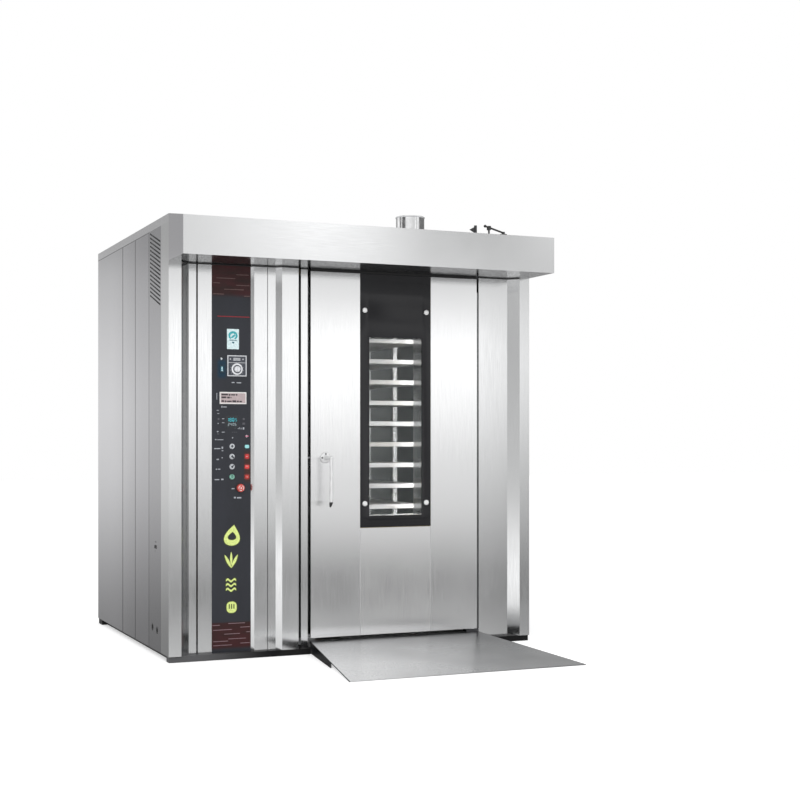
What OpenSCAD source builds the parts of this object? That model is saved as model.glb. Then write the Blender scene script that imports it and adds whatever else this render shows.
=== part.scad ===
// Rotating rack oven: a free-standing stainless steel bakery oven.
// A trolley of trays turns on a floor turntable, driven from the roof void.
// Frame: +Z up, front faces -Y, +X to the viewer's right, origin under the middle of the footprint.
// Inside the modules, x runs from the left side, y from the front of the corner posts, z from the floor.

/* [Cabinet] */
// Width over the two sides
body_w = 2000; // [1900:10:2200]
// Depth from the front of the corner posts to the back
body_d = 1680; // [1620:10:1900]
// Height to the top of the roof
body_h = 2200; // [2190:5:2300]
// Height of the panels' bottom edge above the floor
base_h = 30; // [24:1:40]
// Thickness of the outer sheet metal
sheet_t = 2; // [1.5:0.5:3]
// Width of the open seam between two outer panels
seam_w = 3; // [2:0.5:4]
// How far the wide front faces lie behind the corner posts
face_setback = 50; // [40:1:60]
// Depth of the sheet metal returns behind the front
return_d = 152; // [130:1:175]
// Depth of the roof's turned-down edge
roof_skirt_h = 40; // [20:1:45]
// Depth from the front of the seam behind the louvre panel
louvre_seam_y = 403; // [380:1:430]
// Depth from the front of the second side seam
side_seam_2_y = 711; // [660:1:760]
// Depth from the front of the third side seam
side_seam_3_y = 1014; // [960:1:1080]
// Distance of the base skids from the sides
skid_inset = 35; // [30:1:60]
// Width of a base skid
skid_w = 60; // [40:1:80]

/* [Front columns] */
// Width of the left corner post's front face
left_post_w = 64; // [50:1:80]
// Width of the narrow face beside the left post
narrow_face_w = 38; // [25:1:50]
// Width of the seam beside the narrow face
column_seam_w = 8; // [5:1:12]
// Width of the plain face left of the control fascia
control_left_w = 71; // [50:1:90]
// Width of the black control fascia
fascia_w = 203; // [190:1:230]
// Thickness of the control fascia
fascia_t = 4; // [3:0.5:6]
// Depth of the bevelled bead beside the fascia
bead_d = 14; // [10:1:18]
// Width of the face right of the bead
control_right_w = 69; // [50:1:90]
// Width of the middle column's first face
mid_left_w = 41; // [30:1:60]
// Depth of the middle column's bevelled step
mid_step = 26; // [18:1:32]
// Width of the middle column's forward face
mid_face_w = 88; // [70:1:110]
// Shadow gap right of the middle column
mid_gap_w = 27; // [20:1:35]
// Width of the door frame's visible strip
frame_strip_w = 36; // [25:1:50]
// Gap between the frame strip and the door
door_gap_w = 17; // [14:1:24]
// Gap between the door and the right column
right_gap_w = 12; // [11:1:18]
// Width of the right corner post's front face
right_post_w = 59; // [50:1:80]

/* [Door] */
// Width of the door
door_w = 950; // [900:5:1000]
// Thickness of the door without its gasket
door_t = 110; // [90:1:130]
// Height of the door's bottom edge above the floor
door_z0 = 76; // [74:1:90]
// Gap between the door and the hood's underside
door_top_gap = 13; // [12:1:20]
// Width of the black glass panel
glass_w = 402; // [360:1:440]
// Height of the glass panel's bottom edge
glass_z0 = 636; // [560:1:700]
// Thickness of the outer glass
glass_t = 6; // [4:0.5:8]
// Width of the clear window
window_w = 300; // [260:1:330]
// Height of the window's bottom edge
window_z0 = 696; // [680:1:760]
// Distance of the window's top edge from the door's top
window_drop = 329; // [260:1:450]
// Diameter of the glass bolts' heads
bolt_d = 27; // [18:1:32]
// Distance between the glass bolts sideways
bolt_pitch_x = 352; // [340:1:360]
// Height of the lower glass bolts
bolt_z0 = 760; // [700:1:800]
// Distance of the upper glass bolts from the door's top
bolt_drop = 190; // [110:1:250]
// How far the frame overlaps the door's edges
door_lap = 70; // [55:1:90]
// Thickness of the door gasket
gasket_t = 12; // [8:1:16]
// Width of the door gasket
gasket_w = 24; // [16:1:30]
// Distance of the hinge axis from the door's front and edge
hinge_inset = 20; // [18:1:22]
// Diameter of the hinge pins
hinge_pin_d = 16; // [12:1:20]

/* [Handle and latch] */
// Distance of the handle's axis from the door's latch edge
handle_inset = 79; // [65:1:95]
// Height of the handle's axis
handle_z = 1000; // [950:5:1100]
// How far the grip stands off the door
grip_reach = 88; // [70:1:110]
// Length of the hanging grip
grip_len = 245; // [180:1:280]
// Diameter of the grip
grip_d = 19; // [14:1:26]
// Diameter of the latch bolt
latch_d = 16; // [12:1:20]

/* [Hood and roof] */
// How far the hood stands out in front of the posts
hood_reach = 273; // [200:1:320]
// Height from the hood's underside to the roof's top
hood_h = 229; // [215:1:234]
// Height of the hood's front face
hood_face_h = 186; // [150:1:190]
// Diameter of the chimney
chimney_d = 160; // [120:1:180]
// Height of the chimney above the roof
chimney_h = 150; // [120:1:220]
// Distance of the chimney's axis from the left
chimney_x = 1526; // [1450:1:1600]
// Depth of the chimney's axis from the front
chimney_y = 530; // [525:1:545]
// Depth of the roof fittings from the front
fitting_y = 100; // [80:1:140]
// Distance of the relief lever's pivot from the right side
lever_inset = 195; // [180:1:260]
// Height of the relief lever's pivot above the roof
lever_h = 50; // [44:1:60]
// Length of the relief lever from its pivot to the valve cap
lever_len = 88; // [75:1:110]

/* [Ramp] */
// How far the ramp reaches in front of the posts
ramp_reach = 850; // [700:10:900]
// How much wider the ramp is at each side on the floor
ramp_flare = 135; // [0:5:150]
// Thickness of the ramp's plate
ramp_t = 4; // [3:0.5:6]

/* [Baking chamber] */
// Height of the oven floor
floor_z = 60; // [56:1:66]
// Height from the ceiling's insulation to the roof's top
roof_void_h = 159; // [156:1:169]
// Distance from the trolley's axis to the perforated air wall
air_wall_reach = 621; // [612:1:630]
// Thickness of the insulated right wall
right_wall_t = 149; // [120:1:165]
// Thickness of the insulated back wall
back_wall_t = 168; // [140:1:180]
// Thickness of the chamber's liner sheets
liner_t = 3; // [2:0.5:4]
// Thickness of the left side's insulation
left_wall_t = 60; // [40:1:80]
// Thickness of the ceiling's insulation
ceiling_t = 88; // [70:1:90]

/* [Rack trolley] */
// Width over the trolley
rack_w = 700; // [660:5:720]
// Depth over the trolley
rack_d = 840; // [780:5:860]
// Width of the square posts
post_w = 25; // [20:1:30]
// Height of the first tray's underside
tray_z0 = 250; // [240:1:270]
// Distance from one tray to the next
tray_pitch = 115; // [105:1:115]
// Height of a tray's turned-down rim
tray_h = 24; // [15:1:30]
// Diameter of the trolley's wheels
wheel_d = 100; // [80:1:104]
// Free height between the trolley's top plate and the ceiling
rack_head_h = 104; // [100:1:105]
// Diameter of the turntable
table_d = 1110; // [1105:5:1180]
// Thickness of the turntable
table_t = 9; // [6:1:12]

/* [Drive and fan] */
// Diameter of the drive shaft
shaft_d = 50; // [40:1:55]
// Size of the gears' teeth
gear_module = 6; // [5:0.5:6]
// Number of teeth on the large gear
gear_teeth = 60; // [54:1:62]
// Number of teeth on the pinion
pinion_teeth = 15; // [14:1:18]
// Diameter of the fan impeller
fan_d = 380; // [320:5:420]
// Height of the fan impeller
fan_h = 110; // [80:1:115]
// Number of fan blades
fan_blades = 12; // [8:1:16]

/* [Controls] */
// Width of the timer's square frame
timer_w = 100; // [90:1:110]
// Height of the timer knob's axis
timer_z = 1447; // [1430:1:1470]
// Diameter of the timer knob
knob_d = 58; // [44:1:62]
// Height of the first push button's axis
button_z = 1060; // [1040:1:1080]
// Distance from one push button to the next
button_pitch = 51; // [46:1:60]
// Diameter of a push button
button_d = 22; // [16:1:26]
// Travel of a push button
button_travel = 4; // [2:0.5:5]
// Diameter of the stop button's cap
stop_d = 40; // [32:1:46]
// Height of the stop button's axis
stop_z = 851; // [830:1:870]

/* [Hidden] */
$fn = 48;

// Colours
steel = "#c6c8ca";
steel_dark = "#8f9295";
galvanised = "#a9adb0";
black = "#1d1e20";
wool = "#c9b98a";
iron = "#54575a";

// Clearances
run_fit = 0.05;      // radial clearance of a pin or shaft in its bearing
soft_gap = 0.3;      // gap between pieces of two bodies that almost touch
free_gap = 0.3;      // gap around a button or knob in its hole
through = 1;         // how far a cutting shape passes the face that it opens

// Front columns, from left to right
chamfer = face_setback;
left_post_x1 = left_post_w + chamfer + narrow_face_w;
button_n = 4;
control_x0 = left_post_x1 + column_seam_w;
fascia_x0 = control_x0 + control_left_w;
fascia_x1 = fascia_x0 + fascia_w;
bead_x1 = fascia_x1 + bead_d;
control_x1 = bead_x1 + control_right_w;
mid_x0 = control_x1 + seam_w;
mid_step_x = mid_x0 + mid_left_w;
mid_face_x0 = mid_step_x + mid_step;
mid_x1 = mid_face_x0 + mid_face_w;
frame_x0 = mid_x1 + mid_gap_w;
frame_x1 = frame_x0 + frame_strip_w;
door_x0 = frame_x1 + door_gap_w;
door_x1 = door_x0 + door_w;
door_cx = (door_x0 + door_x1) / 2;
right_x0 = door_x1 + right_gap_w;
right_post_x0 = body_w - right_post_w;
mid_face_y = face_setback - bead_d;
mid_front_y = mid_face_y - mid_step;

// Door, frame and hinge
door_y0 = face_setback;
door_y1 = door_y0 + door_t;
hood_z0 = body_h - hood_h;
door_z1 = hood_z0 - door_top_gap;
window_z1 = door_z1 - window_drop;
bolt_z1 = door_z1 - bolt_drop;
frame_y = door_y1 + gasket_t + soft_gap;
opening_x0 = door_x0 + door_lap;
opening_x1 = door_x1 - door_lap;
opening_z1 = door_z1 - door_lap;
hinge_x = door_x1 - hinge_inset;
hinge_y = door_y0 + hinge_inset;
hinge_flange_t = 3;
handle_x = door_x0 + handle_inset;
latch_y = (door_y0 + door_y1) / 2;
latch_len = 64;
keeper_t = 2;
latch_out = door_gap_w - keeper_t - 3;
window_x0 = door_cx - window_w / 2;
window_x1 = door_cx + window_w / 2;
glass_x0 = door_cx - glass_w / 2;
glass_x1 = door_cx + glass_w / 2;

// Chamber
chamber_x1 = body_w - right_wall_t;
chamber_x0 = door_cx - air_wall_reach;
chamber_y0 = frame_y + 20;
chamber_y1 = body_d - back_wall_t;
ceiling_z1 = body_h - roof_void_h;
chamber_z1 = ceiling_z1 - ceiling_t - liner_t;
chamber_h = chamber_z1 - floor_z;
rotor_x = door_cx;
rotor_y = (chamber_y0 + chamber_y1) / 2;
bulkhead_t = 66;
bulkhead_y1 = louvre_seam_y + bulkhead_t;
void_z0 = ceiling_z1;
roof_z0 = body_h - sheet_t;
heat_x0 = sheet_t + left_wall_t;
heat_x1 = chamber_x0 - liner_t;
heat_cx = (heat_x0 + heat_x1) / 2;
side_top_z = body_h - roof_skirt_h;
fan_y = chamber_y1 - 520;
footprint_mid_y = (body_d - ramp_reach) / 2;

// Places everything from the cabinet's front left corner into the part's own frame
module cab() translate([-body_w / 2, -footprint_mid_y, 0]) children();

// A box between two limits on each axis
module slab(x, y, z)
    translate([x[0], y[0], z[0]]) cube([x[1] - x[0], y[1] - y[0], z[1] - z[0]]);

// A round bar along one axis, from a point
module bar_x(p, len, r) translate(p) rotate([0, 90, 0]) cylinder(r = r, h = len);
module bar_y(p, len, r) translate(p) rotate([-90, 0, 0]) cylinder(r = r, h = len);
module bar_z(p, len, r) translate(p) cylinder(r = r, h = len);

// Unit normal to the left of the line from a to b
function left_normal(a, b) = let (d = (b - a) / norm(b - a)) [-d[1], d[0]];

// Inner corner of a folded sheet at point i
function fold_point(p, i, t) =
    let (
        n1 = i == 0 ? left_normal(p[0], p[1]) : left_normal(p[i - 1], p[i]),
        n2 = i == len(p) - 1 ? n1 : left_normal(p[i], p[i + 1]),
        m = (n1 + n2) / norm(n1 + n2)
    )
    p[i] + m * t / (m * n1);

// A folded sheet that stands upright, with its outer face along the points
module folded(p, z0, z1, t = sheet_t)
    translate([0, 0, z0])
        linear_extrude(z1 - z0)
            polygon(concat(p, [for (i = [len(p) - 1 : -1 : 0]) fold_point(p, i, t)]));

// ---------------------------------------------------------------- base

foot_d = 90;
cross_w = 50;

module skid(x0) slab([x0, x0 + skid_w], [return_d, body_d - foot_d - 15], [0, base_h]);

module base_frame() color(black) cab() {
    right = body_w - skid_inset - skid_w;
    union() {
        skid(skid_inset);
        skid(right);
        for (y = [return_d + 20, rotor_y - cross_w / 2, body_d - foot_d - 15 - cross_w - 20])
            slab([skid_inset + 1, right + 1], [y, y + cross_w], [0.5, base_h - 0.5]);
    }
    for (x = [[sheet_t, skid_inset + skid_w], [right, body_w - sheet_t]])
        slab(x, [body_d - foot_d - 15, body_d - 15], [0, base_h]);
}

plinth_setback = 8;
plinth_flange_d = 100;
plinth_gap = 4;
ramp_y1 = face_setback - 5;
ramp_x0 = door_x0 - 6;
ramp_x1 = door_x1 + 6;
ramp_flare_at_plinth = ramp_flare * (ramp_y1 - plinth_setback) / (ramp_reach + ramp_y1);

module plinth(x0, x1, side_left) {
    slab([x0, x1], [plinth_setback, plinth_setback + sheet_t], [0, base_h]);
    slab([x0, x1], [plinth_setback, plinth_flange_d], [base_h - sheet_t, base_h]);
    side_x = side_left ? x0 : x1 - sheet_t;
    slab([side_x, side_x + sheet_t], [plinth_setback, 60], [0, base_h]);
}

module front_plinth() color(black) cab() {
    union() plinth(plinth_gap, ramp_x0 - ramp_flare_at_plinth - plinth_gap, true);
    union() plinth(max(right_x0, ramp_x1 + ramp_flare_at_plinth) + plinth_gap, body_w - plinth_gap, false);
}

table_gap = 5;
bearing_pocket_d = 90;

module floor_pan() color(steel_dark) cab() difference() {
    union() {
        slab([sheet_t, body_w - sheet_t], [return_d, body_d - sheet_t], [base_h, floor_z]);
        slab([frame_x1, right_x0 - sheet_t], [door_y0, return_d + 1], [base_h, floor_z]);
    }
    bar_z([rotor_x, rotor_y, floor_z - table_t - soft_gap], table_t + soft_gap + through, table_d / 2 + table_gap);
    bar_z([rotor_x, rotor_y, base_h - through], floor_z - base_h, bearing_pocket_d / 2);
}

// ---------------------------------------------------------------- sides, back and roof

module side_sheet(x0, y0, y1) slab([x0, x0 + sheet_t], [y0, y1], [base_h, side_top_z]);

module side_set(x0) {
    side_sheet(x0, louvre_seam_y + seam_w / 2, side_seam_2_y - seam_w / 2);
    side_sheet(x0, side_seam_2_y + seam_w / 2, side_seam_3_y - seam_w / 2);
    side_sheet(x0, side_seam_3_y + seam_w / 2, body_d - sheet_t);
}

module side_panels() color(steel) cab() {
    side_set(0);
    side_sheet(body_w - sheet_t, return_d, louvre_seam_y - seam_w / 2);
    side_set(body_w - sheet_t);
}

louvre_n = 16;
louvre_pitch = 21;
louvre_slot_h = 9;
louvre_top_z = side_top_z - 20;
louvre_inset_y = 14;
louvre_slope = 17;
gland_d = 38;
gland_y = [328, 232];
gland_z = [140, 134];
socket_y = 262;
socket_z = 552;
socket_w = 52;
socket_h = 18;

module louvre_panel() color(steel) cab() difference() {
    side_sheet(0, return_d, louvre_seam_y - seam_w / 2);
    slot_l = louvre_seam_y - return_d - 2 * louvre_inset_y;
    for (i = [0 : louvre_n - 1])
        translate([-through, return_d + louvre_inset_y, louvre_top_z - 62 - i * louvre_pitch])
            rotate([louvre_slope, 0, 0])
                cube([sheet_t + 2 * through, slot_l, louvre_slot_h]);
    for (i = [0, 1]) bar_x([-through, gland_y[i], gland_z[i]], sheet_t + 2 * through, gland_d / 2);
    slab([-through, sheet_t + through], [socket_y - socket_w / 2, socket_y + socket_w / 2],
         [socket_z - socket_h / 2, socket_z + socket_h / 2]);
}

gland_len = 30;
gland_wall = 9;

module cable_inlets() color(black) cab() {
    for (i = [0, 1]) difference() {
        union() {
            bar_x([0, gland_y[i], gland_z[i]], gland_len, gland_d / 2);
            bar_x([sheet_t, gland_y[i], gland_z[i]], 5, gland_d / 2 + 6);
        }
        bar_x([-through, gland_y[i], gland_z[i]], gland_len + 2 * through, gland_d / 2 - gland_wall);
    }
    union() {
        slab([0.5, gland_len], [socket_y - socket_w / 2, socket_y + socket_w / 2], [socket_z - socket_h / 2, socket_z + socket_h / 2]);
        slab([sheet_t, sheet_t + 4], [socket_y - socket_w / 2 - 8, socket_y + socket_w / 2 + 8],
             [socket_z - socket_h / 2 - 7, socket_z + socket_h / 2 + 7]);
    }
}

rear_n = 3;

module rear_panels() color(galvanised) cab() {
    w = (body_w - 2 * sheet_t) / rear_n;
    for (i = [0 : rear_n - 1])
        slab([sheet_t + i * w + (i == 0 ? 0 : seam_w / 2), sheet_t + (i + 1) * w - (i == rear_n - 1 ? 0 : seam_w / 2)],
             [body_d - sheet_t, body_d], [base_h, side_top_z]);
}

module roof_panel() color(steel) cab() difference() {
    slab([0, body_w], [0, body_d], [side_top_z, body_h]);
    slab([sheet_t, body_w - sheet_t], [-through, body_d - sheet_t], [side_top_z - through, roof_z0]);
    bar_z([chimney_x, chimney_y, roof_z0 - through], 2 * through + sheet_t, chimney_d / 2 + soft_gap);
}

// ---------------------------------------------------------------- front columns

module left_corner_post() color(steel) cab() union() {
    folded([[0, return_d], [0, 0], [left_post_w, 0], [left_post_w + chamfer, face_setback],
            [left_post_x1, face_setback], [left_post_x1, return_d]], base_h, hood_z0);
    slab([0, sheet_t], [0, return_d], [hood_z0 - 1, side_top_z]);
}

button_x = fascia_x0 + 105;
stop_x = fascia_x0 + 147;
timer_x = fascia_x0 + 130;
timer_rim = 6;
rocker_x = fascia_x0 + 53;
rocker_w = 14;
rocker_h = 30;
stem_d = 12;
lcd_x = [fascia_x0 + 41, fascia_x0 + 180];
lcd_z = [1272, 1332];
led_x = [fascia_x0 + 85, fascia_x0 + 136];
led_z = [1152, 1212];
lamp_x = fascia_x0 + 183;
lamp_d = 12;
lamp_n = 5;
status_x = fascia_x0 + 51;
status_z = 1498;

// Cuts through the fascia and the sheet behind it
module control_holes() {
    y = mid_face_y;
    l = 80;
    for (i = [0 : button_n - 1])
        bar_y([button_x, y, button_z - i * button_pitch], l, button_d / 2 + free_gap);
    bar_y([stop_x, y, stop_z], l, stem_d / 2 + free_gap);
    bar_y([timer_x, y, timer_z], l, stem_d / 2 + free_gap);
    slab([rocker_x - rocker_w / 2 - free_gap, rocker_x + rocker_w / 2 + free_gap], [y, y + l],
         [timer_z - rocker_h / 2 - free_gap, timer_z + rocker_h / 2 + free_gap]);
}

// Cuts for the indicators, which sit in the fascia only
module indicator_pockets() {
    y = [face_setback - through, face_setback + fascia_t + through];
    slab(lcd_x, y, lcd_z);
    slab(led_x, y, led_z);
    for (i = [0 : lamp_n - 1])
        bar_y([lamp_x, y[0], button_z + (1 - i) * button_pitch], y[1] - y[0], lamp_d / 2);
    bar_y([status_x, y[0], status_z], y[1] - y[0], lamp_d / 2);
}

module control_column() color(steel) cab() difference() {
    back_y = face_setback + fascia_t;
    folded([[control_x0, return_d], [control_x0, face_setback], [fascia_x0, face_setback], [fascia_x0, back_y],
            [fascia_x1, back_y], [fascia_x1, face_setback], [bead_x1, mid_face_y], [control_x1, mid_face_y],
            [control_x1, return_d]], base_h, hood_z0);
    control_holes();
}

module control_fascia() color("#2c2e33") cab() difference() {
    slab([fascia_x0, fascia_x1], [face_setback, face_setback + fascia_t], [base_h, hood_z0]);
    control_holes();
    indicator_pockets();
}

module panel_indicators() color("#cfd6d8") cab() {
    y = [face_setback, face_setback + fascia_t];
    slab(lcd_x, y, lcd_z);
    slab(led_x, y, led_z);
    for (i = [0 : lamp_n - 1])
        bar_y([lamp_x, y[0] - 2, button_z + (1 - i) * button_pitch], fascia_t + 2, lamp_d / 2);
    bar_y([status_x, y[0] - 2, status_z], fascia_t + 2, lamp_d / 2);
    difference() {
        low = timer_z - knob_d / 2 - timer_rim - 1;
        top = low + timer_w + 5;
        slab([timer_x - timer_w / 2, timer_x + timer_w / 2], [y[0] - 5, y[0]], [low, top]);
        slab([timer_x - timer_w / 2 + timer_rim, timer_x + timer_w / 2 - timer_rim], [y[0] - 6, y[0] - 3],
             [low + timer_rim, top - timer_rim]);
        bar_y([timer_x, y[0] - 10, timer_z], 20, stem_d / 2 + free_gap);
    }
}

module mid_column() color(steel) cab()
    folded([[mid_x0, return_d], [mid_x0, mid_face_y], [mid_step_x, mid_face_y], [mid_face_x0, mid_front_y],
            [mid_x1, mid_front_y], [mid_x1, return_d]], base_h, hood_z0);

module right_column() color(steel) cab() union() {
    folded([[right_x0, return_d], [right_x0, face_setback], [right_post_x0 - chamfer, face_setback],
            [right_post_x0, 0], [body_w, 0], [body_w, return_d]], base_h, hood_z0);
    slab([body_w - sheet_t, body_w], [0, return_d], [hood_z0 - 1, side_top_z]);
}

module door_frame() color(steel) cab() {
    // Left jamb: its inner flanges end at the oven floor and at the opening's head
    difference() {
        folded([[frame_x0, return_d], [frame_x0, face_setback], [frame_x1, face_setback], [frame_x1, frame_y],
                [opening_x0, frame_y], [opening_x0, chamber_y0 - liner_t]], base_h, hood_z0);
        slab([frame_x1, opening_x0 + through], [frame_y - through, chamber_y0], [opening_z1, hood_z0 + through]);
        slab([frame_x0 - through, opening_x0 + through], [return_d, chamber_y0], [base_h - through, floor_z]);
    }
    folded([[opening_x1, chamber_y0 - liner_t], [opening_x1, frame_y], [right_x0 - sheet_t, frame_y],
            [right_x0 - sheet_t, face_setback + 20]], floor_z, opening_z1);
    // Head sheet with its return, a seam above the jambs
    head_z0 = opening_z1 + soft_gap;
    union() {
        slab([frame_x1 + soft_gap, right_x0 - sheet_t], [frame_y, frame_y + sheet_t], [head_z0, void_z0]);
        slab([opening_x0, opening_x1], [frame_y, chamber_y0 - liner_t], [head_z0, head_z0 + sheet_t]);
    }
}

// ---------------------------------------------------------------- hood and ramp

// Side view of the hood, drawn in by t and drawn out by over where it is open
module hood_profile(t, over) {
    slope = (body_h - hood_z0 - hood_face_h) / hood_reach;
    polygon([[t - hood_reach, hood_z0 - over], [t - hood_reach, hood_z0 + hood_face_h + (slope - 1) * t],
             [over, body_h - t + slope * over], [over, hood_z0 - over]]);
}

// Stands a (y, z) profile across the cabinet from x0 to x1
module across(x0, x1)
    translate([x0, 0, 0]) rotate([90, 0, 90]) linear_extrude(x1 - x0) children();

module hood() color(steel) cab() difference() {
    across(0, body_w) hood_profile(0, 0);
    across(sheet_t, body_w - sheet_t) hood_profile(sheet_t, through);
}

intake_n = 8;
intake_w = 100;
intake_h = 10;

module hood_underside() color(steel) cab() difference() {
    slab([sheet_t, body_w - sheet_t], [sheet_t - hood_reach, frame_y], [hood_z0, hood_z0 + sheet_t]);
    for (i = [0 : intake_n - 1])
        translate([door_x0 + (i + 0.5) * door_w / intake_n - intake_w / 2, -60, hood_z0 - through])
            cube([intake_w, intake_h, sheet_t + 2 * through]);
}

ramp_lip_h = 3 * ramp_t;
cheek_t = 8;
cheek_start = 0.45;

// Plan of the ramp, with its left and right edges drawn in by t
module ramp_plan(t) linear_extrude(floor_z)
    polygon([[ramp_x0 - ramp_flare + t, -ramp_reach], [ramp_x1 + ramp_flare - t, -ramp_reach], [ramp_x1 - t, ramp_y1],
             [ramp_x1 - t, door_y0], [ramp_x0 + t, door_y0], [ramp_x0 + t, ramp_y1]]);

// A sloping plate with a lip against the oven's floor, and a stiffening cheek under each edge
module ramp() color(steel) cab() intersection() {
    ramp_plan(0);
    union() {
        across(0, body_w)
            polygon([[-ramp_reach, 0], [ramp_y1, floor_z - ramp_t], [ramp_y1, floor_z - ramp_lip_h],
                     [door_y0, floor_z - ramp_lip_h], [door_y0, floor_z], [ramp_y1, floor_z], [-ramp_reach, ramp_t]]);
        difference() {
            y0 = -ramp_reach + cheek_start * (ramp_reach + ramp_y1);
            across(0, body_w)
                polygon([[y0, 0], [ramp_y1 - ramp_t, 0], [ramp_y1 - ramp_t, floor_z - 1.5 * ramp_t],
                         [y0, cheek_start * (floor_z - ramp_t) + ramp_t / 2]]);
            translate([0, 0, -through]) ramp_plan(cheek_t);
        }
    }
}

// ---------------------------------------------------------------- insulation and liner

shaft_hole_d = shaft_d + 20;
fan_shaft_d = 24;
fan_hole_d = 40;
stack_d = 120;
stack_y = chimney_y;
burner_z = 430;
burner_tube_d = 150;

module insulation() color(wool) cab() {
    wool_z = [floor_z, ceiling_z1];
    slab([sheet_t, heat_x0], [louvre_seam_y, chamber_y1 + liner_t], wool_z);
    slab([sheet_t, body_w - sheet_t], [chamber_y1 + liner_t, body_d - sheet_t], wool_z);
    slab([chamber_x1 + liner_t, body_w - sheet_t], [frame_y + sheet_t, chamber_y1 + liner_t], wool_z);
    difference() {
        slab([heat_x0, heat_x1 - left_wall_t], [louvre_seam_y, bulkhead_y1], [floor_z, chamber_z1]);
        bar_y([heat_cx, louvre_seam_y - through, burner_z], bulkhead_t + 2 * through, burner_tube_d / 2 + free_gap);
    }
    slab([heat_x1 - left_wall_t, heat_x1], [chamber_y0 - liner_t, bulkhead_y1], [floor_z, chamber_z1]);
    difference() {
        slab([chamber_x0 - liner_t, chamber_x1 + liner_t], [chamber_y0 - liner_t, chamber_y1 + liner_t],
             [chamber_z1 + liner_t, ceiling_z1]);
        bar_z([rotor_x, rotor_y, chamber_z1], 2 * ceiling_t, shaft_hole_d / 2);
    }
    difference() {
        slab([heat_x0, chamber_x0 - liner_t], [louvre_seam_y, chamber_y1 + liner_t], [chamber_z1, ceiling_z1]);
        bar_z([heat_cx, fan_y, chamber_z1 - through], 2 * ceiling_t, fan_hole_d / 2);
        bar_z([heat_cx, stack_y, chamber_z1 - through], 2 * ceiling_t, stack_d / 2 + free_gap);
    }
}

// The liner's sheets stand edge to edge with a hairline seam, so that each can grow with the heat
module chamber_liner() color("#b9bcbe") cab() {
    seam = soft_gap;
    z = [floor_z, chamber_z1 - seam];
    front_y = [chamber_y0 - liner_t, chamber_y0 - seam];
    slab([chamber_x1, chamber_x1 + liner_t], [chamber_y0, chamber_y1 - seam], z);
    slab([chamber_x0, chamber_x1 + liner_t], [chamber_y1, chamber_y1 + liner_t], z);
    slab([chamber_x0 - liner_t, chamber_x0], [chamber_y0, bulkhead_y1], z);
    slab([chamber_x0 - liner_t, opening_x0], front_y, z);
    slab([opening_x1, chamber_x1 + liner_t], front_y, z);
    slab([opening_x0 + seam, opening_x1 - seam], front_y, [opening_z1, chamber_z1 - seam]);
    difference() {
        slab([chamber_x0 - liner_t, chamber_x1 + liner_t], [chamber_y0 - liner_t, chamber_y1 + liner_t],
             [chamber_z1, chamber_z1 + liner_t]);
        bar_z([rotor_x, rotor_y, chamber_z1 - through], 2 * liner_t, shaft_hole_d / 2);
    }
}

air_cols = 4;
air_rows = 9;
air_slot_w = 22;
air_slot_h = 130;

module air_wall() color("#b9bcbe") cab() difference() {
    slab([chamber_x0 - liner_t, chamber_x0], [bulkhead_y1, chamber_y1], [floor_z, chamber_z1]);
    dy = (chamber_y1 - bulkhead_y1) / air_cols;
    dz = (chamber_h - 40) / air_rows;
    for (c = [0 : air_cols - 1], r = [0 : air_rows - 1])
        translate([chamber_x0 - liner_t - through, bulkhead_y1 + (c + 0.5) * dy, floor_z + 40 + r * dz])
            cube([liner_t + 2 * through, air_slot_w, air_slot_h]);
}

// ---------------------------------------------------------------- heat and air

header_w = 360;
front_header_z0 = 640;
front_header_t = 90;
rear_header_t = 100;
tube_z0 = 700;
tube_lap = 10;
tube_d = 76;
tube_cols = 3;
tube_rows = 5;
tube_pitch = 110;
fire_d = 280;
header_z1 = 1260;
plate_wall = 4;
exchanger_y0 = bulkhead_y1 + 10;
exchanger_y1 = chamber_y1 - 120;

// The exchanger's form, drawn in by the wall for the gas passages inside it
module exchanger_form(wall) {
    y0 = exchanger_y0 + wall;
    y1 = exchanger_y1 + wall;
    x = [heat_cx - header_w / 2 + wall, heat_cx + header_w / 2 - wall];
    bar_y([heat_cx, y0, burner_z], y1 - y0 + 1, fire_d / 2 - wall);
    slab(x, [y1, y1 + rear_header_t - 2 * wall], [burner_z - fire_d / 2 + wall, header_z1 - wall]);
    slab(x, [y0, y0 + front_header_t - 2 * wall], [front_header_z0 + wall, header_z1 - wall]);
    for (c = [0 : tube_cols - 1], r = [0 : tube_rows - 1])
        bar_y([heat_cx + (c - 1) * tube_pitch, exchanger_y0 + front_header_t - tube_lap, tube_z0 + r * tube_pitch],
              exchanger_y1 - exchanger_y0 - front_header_t + 2 * tube_lap, tube_d / 2 - wall / 2);
    bar_z([heat_cx, stack_y, header_z1 - 10], void_z0 - header_z1 + 20 + wall, stack_d / 2 - wall / 2);
    bar_y([heat_cx, bulkhead_y1 - wall, burner_z], 12 + 2 * wall, burner_tube_d / 2 - wall);
}

module heat_exchanger() color("#8a7f74") cab() difference() {
    union() {
        intersection() {
            exchanger_form(0);
            slab([0, body_w], [bulkhead_y1, body_d], [0, void_z0 + 10]);
        }
        for (y = [exchanger_y0 + 30, exchanger_y1 + 20])
            slab([heat_cx - 40, heat_cx + 40], [y, y + 60], [floor_z, burner_z - fire_d / 2 + 20]);
    }
    exchanger_form(plate_wall);
}

burner_front_y = return_d + 20;
burner_flange_w = 220;
scroll_r = 90;
blower_motor_len = 160;
blower_motor_r = 62;
gas_block_w = 120;
gas_block_h = 150;
gas_pipe_len = 150;
gas_pipe_r = 14;

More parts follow.
